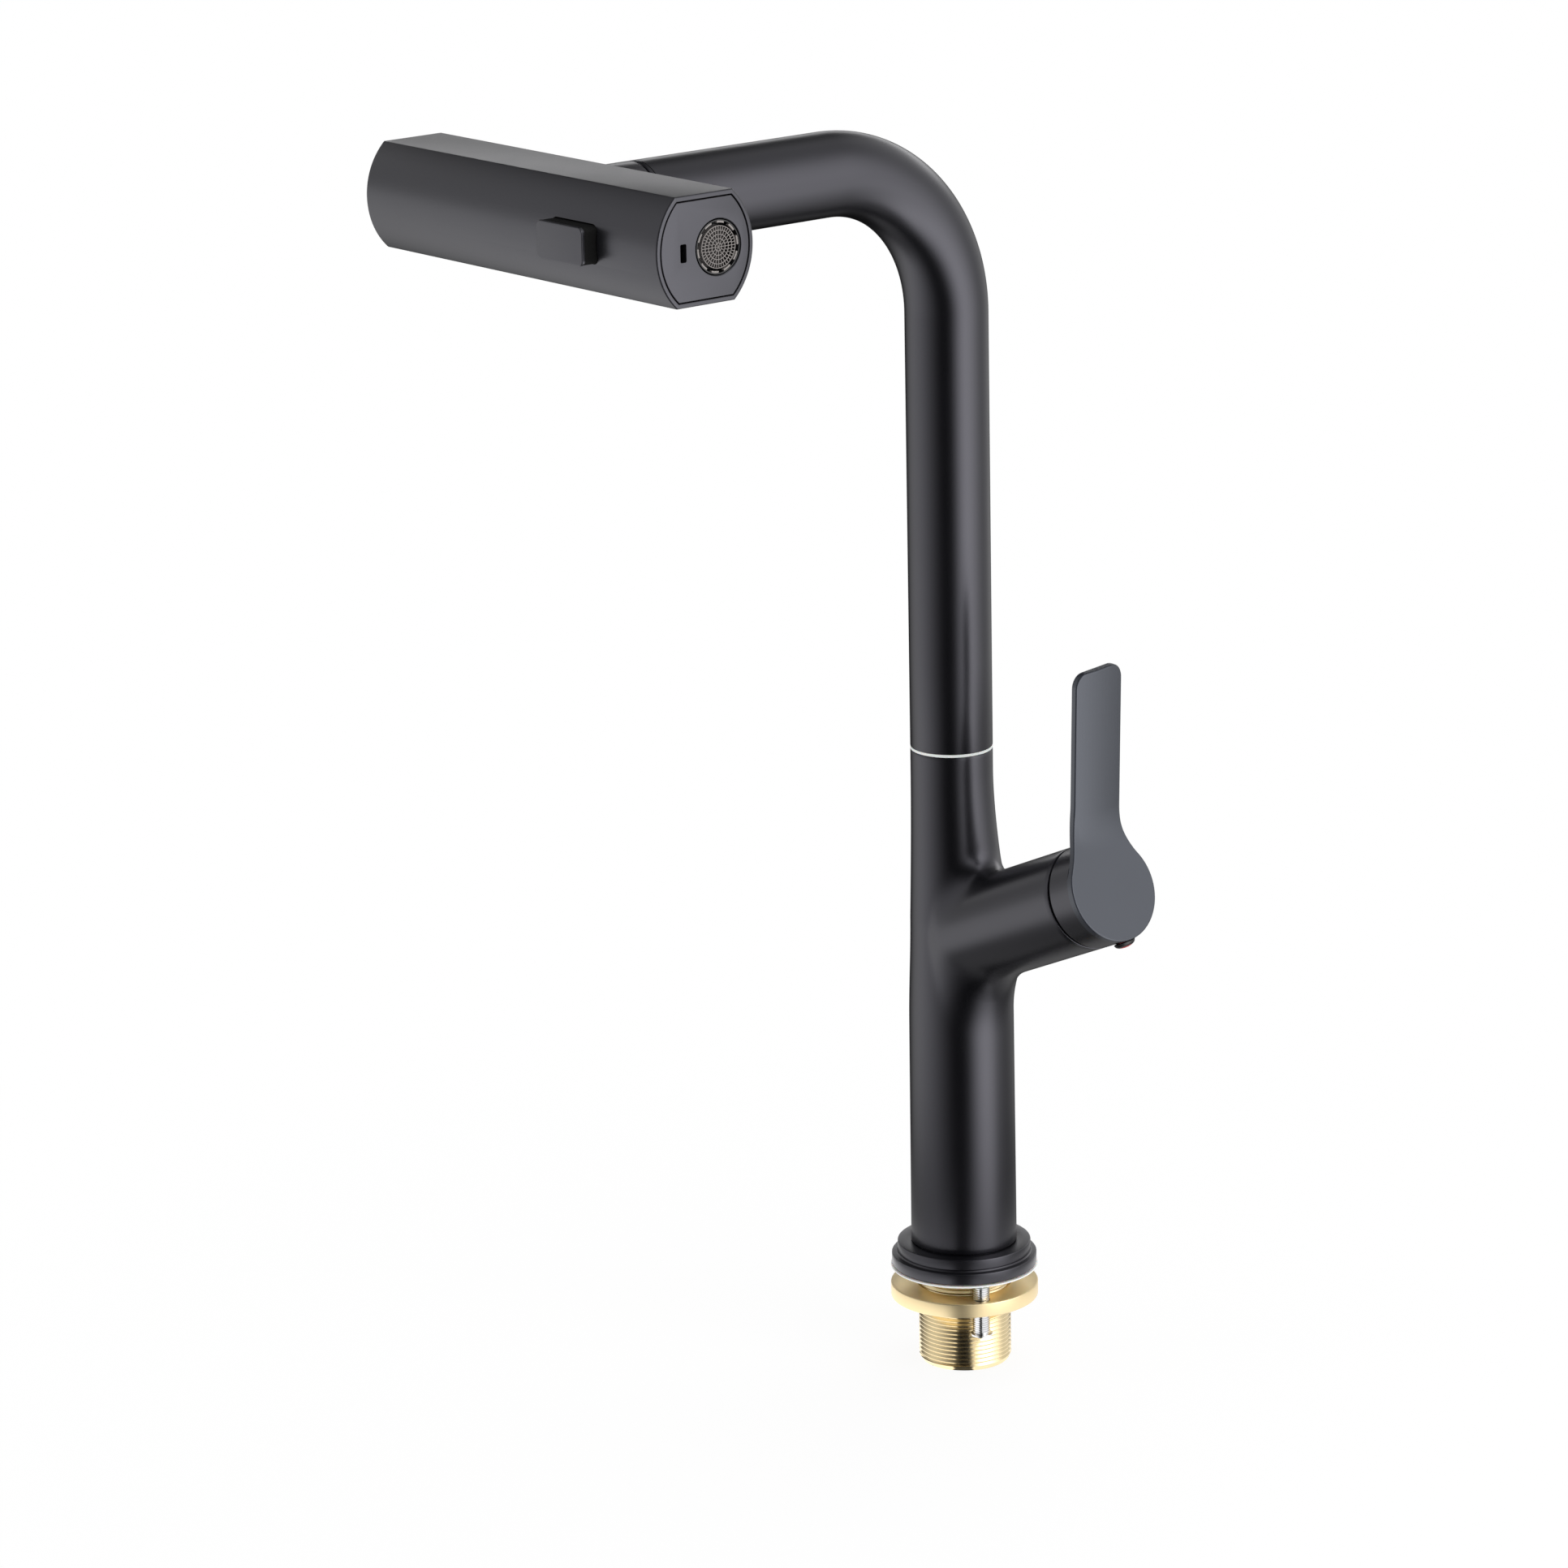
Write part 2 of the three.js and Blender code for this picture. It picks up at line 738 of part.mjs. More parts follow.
// The rear rim lies on a sphere about the stem's pivot, so it clears the barrel at any angle.
function hubShell() {
  const sphere = Math.hypot(rimBack - pivot, handle.radius);
  const inner = handle.radius - handle.wall;
  const plateBack = handleFront - handle.plate;
  const onSphere = (radius) => [radius, pivot + Math.sqrt(sphere * sphere - radius * radius)];
  const middle = (handle.radius + inner) / 2;
  return turned([
    [0, plateBack],
    [inner, plateBack],
    onSphere(inner),
    onSphere(middle),
    [handle.radius, rimBack],
    [handle.radius, handleFront],
    [0, handleFront],
  ]);
}

function handlePiece() {
  const boss = rod(handle.bossRadius, bossBack, handleFront, SMALL_SIDES);
  const socket = stem.square + 2 * CLEAR;
  const socketLength = stemEnd + CLEAR - bossBack + CUT;
  const cutters = [
    box([socket, socket, socketLength], [0, 0, stemEnd + CLEAR - socketLength / 2]),
    alongX(rod(grub.radius + CLEAR, 0, handle.bossRadius + CUT, SMALL_SIDES)).translate(0, 0, grubAlong),
    alongX(rod(plug.stemRadius + CLEAR, handle.radius - handle.wall - CUT, handle.radius + CUT, SMALL_SIDES))
      .translate(0, 0, grubAlong),
  ];
  return piece("handle", shaped([hubShell(), leverPlate(), boss], cutters), "leverCoat");
}

function handleGrubScrew() {
  const start = stem.square / 2 + CLEAR;
  const geometry = alongX(rod(grub.radius, start, handle.bossRadius, SMALL_SIDES));
  return piece("handle_grub_screw", geometry.translate(0, 0, grubAlong), "steel");
}

function indexPlug() {
  const seat = handle.radius + CLEAR;
  const edge = 0.4;
  const geometry = turned([
    [0, seat - plug.depth],
    [plug.stemRadius, seat - plug.depth],
    [plug.stemRadius, seat],
    [plug.radius, seat],
    [plug.radius, seat + edge],
    [plug.radius * 0.8, seat + plug.dome * 0.8],
    [plug.radius * 0.4, seat + plug.dome],
    [0, seat + plug.dome],
  ], SMALL_SIDES);
  return piece("index_plug", alongX(geometry).translate(0, 0, grubAlong), "indexRed");
}

// ---------------------------------------------------------------- spout and its swivel

// Stations along the spout's centre line as [y, z, slope in degrees from straight up].
function spoutStations(bottom, end, bendSteps) {
  const stations = [[0, bottom, 0]];
  for (let i = 0; i <= bendSteps; i += 1) {
    const turn = radians((90 * i) / bendSteps);
    const y = spout.bend * (Math.cos(turn) - 1);
    const z = spout.height + spout.bend * (Math.sin(turn) - 1);
    stations.push([y, z, (90 * i) / bendSteps]);
  }
  stations.push([end, spout.height, 90]);
  return stations;
}

function stationRing([y, z, slope], radius) {
  const lean = radians(slope);
  const up = new THREE.Vector3(0, Math.cos(lean), Math.sin(lean));
  return { centre: new THREE.Vector3(0, y, z), across: X, up, radius };
}

function spoutTube() {
  const stations = spoutStations(washerTop, spout.mouth, 9);
  const outer = stations.map((station) => stationRing(station, spout.radius));
  const inner = stations.map((station) => stationRing(station, spout.radius - spout.wall)).reverse();
  return piece("spout_tube", lofted([...outer, ...inner, outer[0]]), "blackCoat");
}

function swivelWasher() {
  const geometry = ring(neck.radius, sleeveRadius + CLEAR, neck.top, washerTop);
  return piece("swivel_washer", geometry, "whitePlastic");
}

// The profile of a groove in the sleeve's outer face, from low to high.
function groove(centre, width, depth) {
  const low = centre - width / 2;
  const high = centre + width / 2;
  const floor = sleeveRadius - depth;
  return [[sleeveRadius, low], [floor, low], [floor, high], [sleeveRadius, high]];
}

function swivelSleeve() {
  const bore = sleeveRadius - sleeve.wall;
  const bottom = neck.top - sleeve.below;
  const top = washerTop + sleeve.above;
  const upper = spout.radius - spout.wall - CLEAR;
  const [firstRing, secondRing] = sleeve.ringPlaces;
  const geometry = turned([
    [bore, bottom],
    [sleeveRadius, bottom],
    ...groove(neck.top - sleeve.screwAt, 2 * (sleeve.screwRadius + CLEAR), sleeve.groove),
    ...groove(neck.top - secondRing, sleeve.grooveWidth, sleeve.groove),
    ...groove(neck.top - sleeve.bearingAt, sleeve.bearingWidth + 2 * CLEAR, sleeve.bearingDepth),
    ...groove(neck.top - firstRing, sleeve.grooveWidth, sleeve.groove),
    [sleeveRadius, washerTop],
    [upper, washerTop],
    [upper, top],
    [bore, top],
    [bore, bottom],
  ], INNER_SIDES);
  return piece("swivel_sleeve", geometry, "brass");
}

// Halfway between the groove's floor and the neck's bore.
function ringRadius() {
  return (sleeveRadius - sleeve.groove + neck.radius - neck.wall) / 2;
}

function sleeveRing(name, below) {
  return piece(name, oRing(ringRadius(), sleeve.ringSection, neck.top - below), "blackRubber");
}

function sleeveBearing() {
  const outer = neck.radius - neck.wall - CLEAR / 2;
  const inner = sleeveRadius - sleeve.bearingDepth + CLEAR;
  const centre = neck.top - sleeve.bearingAt;
  const half = sleeve.bearingWidth / 2;
  const geometry = ring(outer, inner, centre - half, centre + half, INNER_SIDES);
  return piece("sleeve_bearing", geometry, "whitePlastic");
}

// The grub screw at the back of the neck that keeps the sleeve from lifting out.
function swivelStopScrew() {
  const tip = sleeveRadius - sleeve.groove + CLEAR;
  const geometry = alongY(rod(sleeve.screwRadius, tip, neck.radius - CLEAR, SMALL_SIDES));
  return piece("swivel_stop_screw", geometry.translate(0, 0, neck.top - sleeve.screwAt), "steel");
}

// ---------------------------------------------------------------- dock and hose

// The plastic bush in the spout's mouth that the head's spigot slides into.
function dockBush() {
  const outer = spoutBore - CLEAR;
  const geometry = turned([
    [outer - dock.wall, 0],
    [outer - dock.wall, -dock.lip],
    [outer, -dock.lip],
    [outer, dock.length],
    [outer - dock.wall, dock.length],
    [outer - dock.wall, 0],
  ]);
  const place = [0, spout.mouth + dock.lip, spout.height];
  return piece("dock_bush", alongY(geometry).translate(...place), "blackPlastic");
}

function sprayHose() {
  const stations = spoutStations(hoseStart, hoseEnd, 9);
  const rings = stations.map((station) => stationRing(station, hose.radius));
  const first = stationRing(stations[0], 0);
  const last = stationRing(stations[stations.length - 1], 0);
  return piece("spray_hose", lofted([first, ...rings, last], SMALL_SIDES), "greyBraid");
}

function hoseConnector() {
  const top = hoseStart - CLEAR;
  const geometry = ring(hose.connectorRadius, hose.bore, hose.bottom, top, SMALL_SIDES);
  return piece("hose_connector", geometry, "brass");
}

// The swivel fitting at the hose's upper end, held inside the head's spigot.
function hoseFitting() {
  const geometry = alongY(ring(fitting.radius, hose.bore, 0, fitting.length, SMALL_SIDES));
  const place = [0, fittingBack - fitting.length, spout.height];
  return piece("hose_fitting", geometry.translate(...place), "brass");
}

function hoseFerrule() {
  const inner = hose.radius + CLEAR;
  const geometry = alongY(ring(inner + fitting.ferruleWall, inner, 0, fitting.ferrule, SMALL_SIDES));
  return piece("hose_ferrule", geometry.translate(0, fittingBack + CLEAR, spout.height), "steel");
}

function fittingSeal() {
  const section = fitting.sealSection;
  const geometry = alongY(oRing(fitting.radius - 2 * section, section, 0));
  const place = [0, fittingFront - section - CLEAR, spout.height];
  return piece("fitting_seal", geometry.translate(...place), "blackRubber");
}

// ---------------------------------------------------------------- spray head

// The bar's section in (y, z): flat top and bottom with bowed front and back.
function barOutline(inset) {
  const half = bar.halfHeight - inset;
  const radius = bar.sideRadius - inset;
  const centre = bar.sideRadius - bar.halfDepth;
  const reach = Math.asin(half / radius);
  const shape = new THREE.Shape();
  shape.absarc(-centre, 0, radius, -reach, reach, false);
  shape.absarc(centre, 0, radius, Math.PI - reach, Math.PI + reach, false);
  return shape;
}

// Extrudes a (y, z) shape along X between two stations of the bar.
function acrossBar(shape, from, to) {
  const toBar = new THREE.Matrix4().makeBasis(Y, new THREE.Vector3(0, 0, 1), X);
  return extruded(shape, to - from, 6).applyMatrix4(toBar).translate(from, 0, 0);
}

// Extrudes an (x, z) shape along Y, from the nearer face towards +Y.
function throughBar(shape, from, to) {
  const toFront = new THREE.Matrix4().makeBasis(X, new THREE.Vector3(0, 0, 1), new THREE.Vector3(0, -1, 0));
  return extruded(shape, to - from, 4).applyMatrix4(toFront).translate(0, to, 0);
}

// Extrudes an (x, y) shape along Z.
function upThrough(shape, from, to) {
  return extruded(shape, to - from, 4).translate(0, 0, from);
}

const plateInset = bar.wall + bar.plateGap;
function sprayOutline(grow) {
  return roundedRectangle(sprayPlate.length, sprayPlate.width, sprayPlate.width / 2 - CLEAR, grow);
}

function headShell() {
  const outline = barOutline(0);
  outline.holes.push(barOutline(bar.wall));
  const buttonSlot = roundedRectangle(button.width, button.height, button.corner, CLEAR);
  const spraySlot = sprayOutline(CLEAR);
  const cutters = [
    alongY(rod(headNeck.pipe + CLEAR, 0, bar.halfDepth + CUT, SMALL_SIDES)),
    throughBar(buttonSlot, barFront - CUT, 0).translate(button.offset, 0, 0),
    upThrough(spraySlot, -bar.halfHeight - CUT, 0).translate(sprayPlate.offset, 0, 0),
  ];
  const tube = acrossBar(outline, -bar.halfLength, bar.halfLength);
  return piece("head_shell", shaped([tube], cutters), "headCoat");
}

function outletEndPlate() {
  const back = bar.halfLength - bar.plateThickness;
  const blank = acrossBar(barOutline(plateInset), back, bar.halfLength);
  const hole = alongX(rod(aerator.radius + CLEAR, back - CUT, bar.halfLength + CUT));
  const slot = box(
    [bar.plateThickness + 2 * CUT, latchWindow.width, latchWindow.height],
    [bar.halfLength - bar.plateThickness / 2, latchWindow.offset, 0],
  );
  return piece("outlet_end_plate", shaped([blank], [hole.translate(0, aerator.offset, 0), slot]), "headCoat");
}

function closedEndPlate() {
  const front = bar.plateThickness - bar.halfLength;
  return piece("closed_end_plate", acrossBar(barOutline(plateInset), -bar.halfLength, front), "headCoat");
}

function aeratorHousing() {
  const front = bar.halfLength;
  const back = front - aerator.depth;
  const coreBack = front - aerator.recess - aerator.coreDepth - CLEAR;
  const bore = block.bore;
  const cup = turned([
    [bore, back],
    [aerator.radius, back],
    [aerator.radius, front],
    [aerator.core + CLEAR, front],
    [aerator.core + CLEAR, coreBack],
    [bore, coreBack],
    [bore, back],
  ]);
  const notches = [];
  for (let i = 0; i < aerator.notches; i += 1) {
    const notch = box([2, aerator.notchWidth, 2 * aerator.notchDepth], [aerator.radius, 0, front]);
    notches.push(notch.rotateZ((2 * Math.PI * i) / aerator.notches));
  }
  const geometry = alongX(shaped([cup], notches)).translate(0, aerator.offset, 0);
  return piece("aerator_housing", geometry, "blackPlastic");
}

function aeratorCore() {
  const front = bar.halfLength - aerator.recess;
  const geometry = alongX(rod(aerator.core, front - aerator.coreDepth, front, INNER_SIDES));
  return piece("aerator_core", geometry.translate(0, aerator.offset, 0), "greyPlastic");
}

function aeratorSeal() {
  const geometry = alongX(ring(aerator.radius, block.bore, -aerator.sealThickness, 0, INNER_SIDES));
  return piece("aerator_seal", geometry.translate(aeratorBack - CLEAR, aerator.offset, 0), "blackRubber");
}

// The neck behind the bar, with the spigot that docks in the spout.
function dockingNeck() {
  const tip = seam + headNeck.spigot;
  const fittingEnd = fittingFront - barCentreY - 2 * fitting.sealSection - 2 * CLEAR;
  const outer = alongY(rod(spout.radius, pipeEnd, seam));
  const barSpace = acrossBar(barOutline(-CLEAR), -spout.radius - CUT, spout.radius + CUT);
  const skirt = shaped([outer], [barSpace]);
  const core = alongY(turned([
    [0, pipeEnd],
    [headNeck.pipe, pipeEnd],
    [headNeck.pipe, seam],
    [spigotRadius, seam - CUT],
    ...spigotGroove(),
    [spigotRadius, tip],
    [0, tip],
  ]));
  const bores = [
    alongY(rod(headNeck.waterway, pipeEnd - CUT, tip, SMALL_SIDES)),
    alongY(rod(fitting.radius + headNeck.slack, fittingEnd, tip + CUT, INNER_SIDES)),
  ];
  return piece("docking_neck", shaped([skirt, core], bores), "blackCoat");
}

// The profile of the O-ring groove in the spigot.
function spigotGroove() {
  const centre = seam + headSeal.at;
  const floor = spigotRadius - 2 * headSeal.section;
  const half = headSeal.section + CLEAR;
  return [
    [spigotRadius, centre - half],
    [floor, centre - half],
    [floor, centre + half],
    [spigotRadius, centre + half],
  ];
}

function spigotRing() {
  const floor = spigotRadius - 2 * headSeal.section;
  const radius = floor + CLEAR / 2 + headSeal.section;
  const geometry = alongY(oRing(radius, headSeal.section - CLEAR / 4, seam + headSeal.at));
  return piece("spigot_ring", geometry, "blackRubber");
}

// The moulded waterway that feeds the aerator and the chamber over the spray plate.
function waterwayBlock() {
  const shape = roundedRectangle(blockBack - blockFront, 2 * block.halfHeight, block.corner);
  const body = acrossBar(shape, -block.left, block.right).translate(0, (blockBack + blockFront) / 2, 0);
  const lead = aeratorBack - aerator.sealThickness - 2 * CLEAR;
  const nozzle = alongX(rod(aerator.radius - 1, block.right - CUT, lead, INNER_SIDES));
  const floor = sprayPlateTop + CLEAR;
  const hollow = sprayOutline(-sprayChamber.wall);
  const chamber = upThrough(sprayOutline(0), floor, CUT - block.halfHeight);
  const cutters = [
    upThrough(hollow, floor - CUT, -block.halfHeight - sprayChamber.roof).translate(sprayPlate.offset, 0, 0),
    alongX(rod(block.bore, CUT - block.left, lead + CUT, SMALL_SIDES)).translate(0, aerator.offset, 0),
    alongY(rod(headNeck.waterway, aerator.offset, blockBack + CUT, SMALL_SIDES)),
    alongY(rod(block.diverter, blockFront - CUT, aerator.offset, SMALL_SIDES)).translate(button.offset, 0, 0),
    rod(block.bore, floor, 0, SMALL_SIDES).translate(sprayPlate.offset, 0, 0),
  ];
  chamber.translate(sprayPlate.offset, 0, 0);
  nozzle.translate(0, aerator.offset, 0);
  return piece("waterway_block", shaped([body, nozzle, chamber], cutters), "blackPlastic");
}

// The non-return valve in the neck's waterway.
function checkValvePiece() {
  const start = pipeEnd + checkValve.inset;
  const radius = headNeck.waterway - CLEAR;
  const geometry = alongY(ring(radius, checkValve.bore, start, start + checkValve.length, SMALL_SIDES));
  return piece("check_valve", geometry, "whitePlastic");
}

// The nozzle plate in the bar's underside.
function sprayPlatePiece() {
  const bottom = -bar.halfHeight - sprayPlate.proud;
  const top = bottom + sprayPlate.thickness;
  const blank = upThrough(sprayOutline(0), bottom, top);
  const holes = [];
  const pitch = (sprayPlate.length - sprayPlate.width) / (sprayPlate.nozzles - 1);
  for (let i = 0; i < sprayPlate.nozzles; i += 1) {
    const x = (i - (sprayPlate.nozzles - 1) / 2) * pitch;
    for (const y of [-sprayPlate.width / 4, sprayPlate.width / 4]) {
      holes.push(rod(sprayPlate.hole, bottom - CUT, top + CUT, 6).translate(x, y, 0));
    }
  }
  const geometry = shaped([blank], holes).translate(sprayPlate.offset, 0, 0);
  return piece("spray_plate", geometry, "blackRubber");
}

// ---------------------------------------------------------------- button and diverter

function sprayButton() {
  const outline = (grow) => roundedRectangle(button.width, button.height, button.corner, grow);
  const cap = throughBar(outline(0), buttonFront, buttonBack);
  const rim = throughBar(outline(button.rim), buttonBack - button.rimThickness, buttonBack);
  const bowed = acrossBar(barOutline(bar.wall + CLEAR), -button.width, button.width);
  const geometry = shaped([cap, common(rim, bowed)]);
  return piece("spray_button", geometry.translate(button.offset, 0, 0), "headCoat");
}

function diverterSpool() {
  const start = buttonBack + CLEAR;
  const end = buttonFront + button.proud + button.reach;
  const firstPiston = glandBack + CLEAR;
  const geometry = alongY(turned([
    [0, start],
    [button.stemRadius, start],
    [button.stemRadius, firstPiston],
    [button.pistonRadius, firstPiston],
    [button.pistonRadius, firstPiston + button.pistonLength],
    [button.stemRadius, firstPiston + button.pistonLength],
    [button.stemRadius, end],
    [0, end],
  ], SMALL_SIDES));
  return piece("diverter_spool", geometry.translate(button.offset, 0, 0), "greyPlastic");
}

// The gland that closes the diverter's bore, guides its spool and seats the spring.
function diverterGland() {
  const outer = block.diverter - CLEAR;
  const geometry = alongY(ring(outer, button.stemRadius + CLEAR, glandFront, glandBack, SMALL_SIDES));
  return piece("diverter_gland", geometry.translate(button.offset, 0, 0), "brass");
}

// The return spring between the button and the gland.
function buttonSpring() {
  const start = buttonBack + CLEAR + spring.wire;
  const end = glandFront - CLEAR - spring.wire;
  const coil = new THREE.Curve();
  coil.getPoint = (t, target = new THREE.Vector3()) => {
    const turn = t * spring.turns * 2 * Math.PI;
    const along = start + t * (end - start);
    return target.set(spring.radius * Math.cos(turn), along, spring.radius * Math.sin(turn));
  };
  const wire = new THREE.Shape();
  wire.absarc(0, 0, spring.wire, 0, 2 * Math.PI);
  const steps = Math.round(spring.turns * spring.stepsPerTurn);
  const options = { steps, extrudePath: coil, curveSegments: 2, bevelEnabled: false };
  const geometry = outward(new THREE.ExtrudeGeometry(wire, options));
  return piece("button_spring", geometry.translate(button.offset, 0, 0), "steel");
}

// ---------------------------------------------------------------- assembly

faucet.add(
  deckGasket(),
  baseFlange(),
  mountingShank(),
  lockNut(),
  clampScrewPiece("clamp_screw_front", 0),
  clampScrewPiece("clamp_screw_rear", 180),
  faucetBody(),
);

side.add(
  inletNipple("hot_inlet", inletPlaces.hot, "brass"),
  inletNipple("cold_inlet", inletPlaces.cold, "brass"),
  inletNipple("mixed_outlet", inletPlaces.mixed, "brass"),
  portedDisc("cartridge_seal", cartridge.radius, sealBack, cartridge.sealThickness, "blackRubber"),
  cartridgeHousing(),
  portedDisc("fixed_ceramic_disc", housingInner - CLEAR, discBack, cartridge.discThickness, "ceramic"),
  slidingDisc(),
  cartridgeNut(),
  cartridgeTurret(),
  stemPin(),
  cartridgeStem(),
  handlePiece(),
  handleGrubScrew(),
  indexPlug(),
);

swivel.add(
  swivelWasher(),
  spoutTube(),
  swivelSleeve(),
  sleeveRing("sleeve_ring_upper", sleeve.ringPlaces[0]),
  sleeveRing("sleeve_ring_lower", sleeve.ringPlaces[1]),
  sleeveBearing(),
  swivelStopScrew(),
  dockBush(),
  sprayHose(),
  hoseConnector(),
  hoseFitting(),
  hoseFerrule(),
  fittingSeal(),
);

head.add(
  headShell(),
  outletEndPlate(),
  closedEndPlate(),
  aeratorHousing(),
  aeratorCore(),
  aeratorSeal(),
  dockingNeck(),
  spigotRing(),
  waterwayBlock(),
  checkValvePiece(),
  sprayPlatePiece(),
  sprayButton(),
  diverterSpool(),
  diverterGland(),
  buttonSpring(),
);

export default faucet;
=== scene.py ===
"""Kitchen faucet with a pull-out bar spray head: the finished pieces round its CAD frame."""

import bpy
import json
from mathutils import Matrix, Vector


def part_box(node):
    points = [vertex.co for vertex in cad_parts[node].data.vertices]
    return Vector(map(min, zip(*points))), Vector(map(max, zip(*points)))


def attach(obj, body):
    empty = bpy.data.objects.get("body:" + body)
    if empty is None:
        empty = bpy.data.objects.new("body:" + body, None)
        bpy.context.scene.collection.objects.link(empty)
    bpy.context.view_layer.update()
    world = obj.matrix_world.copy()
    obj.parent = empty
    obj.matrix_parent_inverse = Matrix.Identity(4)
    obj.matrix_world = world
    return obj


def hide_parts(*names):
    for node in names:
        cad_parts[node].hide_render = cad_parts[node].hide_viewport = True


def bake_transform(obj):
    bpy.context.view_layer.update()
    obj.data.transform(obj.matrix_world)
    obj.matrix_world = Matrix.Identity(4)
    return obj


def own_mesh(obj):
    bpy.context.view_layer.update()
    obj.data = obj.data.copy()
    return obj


bl_info = {
    "name": "Pull-out kitchen faucet",
    "version": (1, 0, 0),
    "blender": (4, 5, 0),
    "location": "View3D > Sidebar > Faucet",
    "description": "Builds the coated, turned and moulded pieces of a pull-out kitchen faucet",
    "category": "Add Mesh",
}

import json
import math
from types import SimpleNamespace

import bmesh
import bpy
import numpy as np
from mathutils import Matrix, Vector

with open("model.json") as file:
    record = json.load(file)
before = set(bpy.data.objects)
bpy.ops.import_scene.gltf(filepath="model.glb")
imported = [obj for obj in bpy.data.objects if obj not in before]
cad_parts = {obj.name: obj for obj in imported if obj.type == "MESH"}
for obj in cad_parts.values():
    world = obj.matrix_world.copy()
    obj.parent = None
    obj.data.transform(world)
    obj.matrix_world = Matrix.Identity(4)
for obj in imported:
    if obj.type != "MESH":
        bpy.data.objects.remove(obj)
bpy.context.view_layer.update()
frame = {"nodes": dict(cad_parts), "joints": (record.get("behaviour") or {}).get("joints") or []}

MM = 0.001
TURN = 2 * math.pi
UP = Vector((0, 0, 1))

# ---------------------------------------------------------------- places taken from the frame


def joint_place(name):
    """The point that a joint turns about, in millimetres."""
    found = next(j for j in frame["joints"] if j["name"] == name)
    return Vector(found["pos_m"]) / MM


def joint_axis(name):
    """The direction of a joint's axis."""
    found = next(j for j in frame["joints"] if j["name"] == name)
    return Vector(found["axis"]).normalized()


def node_box(name):
    """The lowest and highest corner of a CAD node, in millimetres."""
    low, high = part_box(name)
    return low / MM, high / MM


def node_middle(name):
    """The middle of a CAD node's box, in millimetres."""
    return [(low + high) / 2 for low, high in zip(*node_box(name))]


def node_span(name, place):
    """The lowest and highest corner of a CAD node along a place's directions, in millimetres."""
    node = frame["nodes"][name]
    inwards = (Matrix.Scale(MM, 4) @ place).inverted() @ node.matrix_world
    points = np.array([inwards @ vertex.co for vertex in node.data.vertices])
    return Vector(points.min(0)), Vector(points.max(0))


SPOUT_X = joint_place("spout_swivel").x
NECK_TOP = joint_place("spout_swivel").z
SPOUT_Z = joint_place("head_swivel").z
BARREL = joint_axis("temperature")
BARREL_DOWN = Vector((BARREL.z, 0, -BARREL.x))
PIVOT = joint_place("temperature")
BARREL_ROOT = Vector((0, 0, PIVOT.z - PIVOT.x * BARREL.z / BARREL.x))
HEAD_Y = node_middle("outlet_end_plate")[1]


def axes(origin, x, y, z):
    """The matrix of a frame with the given origin and unit directions."""
    made = Matrix((x, y, z)).transposed().to_4x4()
    made.translation = origin
    return made


COLUMN_FRAME = Matrix.Identity(4)
SWIVEL_FRAME = Matrix.Translation((SPOUT_X, 0, 0))
BARREL_FRAME = axes(BARREL_ROOT, BARREL_DOWN, Vector((0, 1, 0)), BARREL)
PLUG_TURN, PLUG_HEIGHT = math.radians(8), 79.4
PLUG_FRAME = (
    BARREL_FRAME @ Matrix.Rotation(PLUG_TURN, 4, "Z") @ Matrix.Translation((0, 0, PLUG_HEIGHT))
)
HEAD_FRAME = Matrix.Translation((SPOUT_X, HEAD_Y, SPOUT_Z))
ALONG_X = axes(Vector(), Vector((0, 1, 0)), UP, Vector((1, 0, 0)))
ALONG_Y = axes(Vector(), UP, Vector((1, 0, 0)), Vector((0, 1, 0)))
FORWARD = axes(Vector(), Vector((1, 0, 0)), UP, Vector((0, -1, 0)))


# ---------------------------------------------------------------- sizes and colours


def length(name, description, value):
    """A length property, given in millimetres."""
    return bpy.props.FloatProperty(
        name=name, description=description, default=value * MM, min=0, unit="LENGTH", precision=5
    )


def colour(name, description, value):
    """A colour property."""
    return bpy.props.FloatVectorProperty(
        name=name, description=description, default=value, size=3, min=0, max=1, subtype="COLOR"
    )


def share(name, description, value):
    """A property from 0 to 1."""
    return bpy.props.FloatProperty(
        name=name, description=description, default=value, min=0, max=1, subtype="FACTOR"
    )


class FaucetBodySizes(bpy.types.PropertyGroup):
    """Sizes of the cast body and the spout."""

    column_foot: length("Column foot radius", "Radius of the column where it stands", 18.25)
    column_top: length("Column top radius", "Radius of the column under the barrel", 17.95)
    neck: length("Neck radius", "Radius of the neck and of the spout", 14)
    barrel: length("Barrel radius", "Radius of the side barrel and of the lever's hub", 17.6)
    barrel_length: length("Barrel length", "From the column's axis to the barrel's rim", 71.35)
    crease_above: length("Crease above", "How far the barrel's upper side blends into the neck", 7)
    crease_below: length(
        "Crease below", "How far the barrel's lower side blends into the column", 22
    )
    foot_groove: length("Foot groove", "Height of the shadow groove over the flange", 0.2)
    spout_wall: length("Spout wall", "Wall of the spout's tube", 1.6)
    bend: length("Spout bend", "Radius of the spout's bend at its middle line", 52.4)


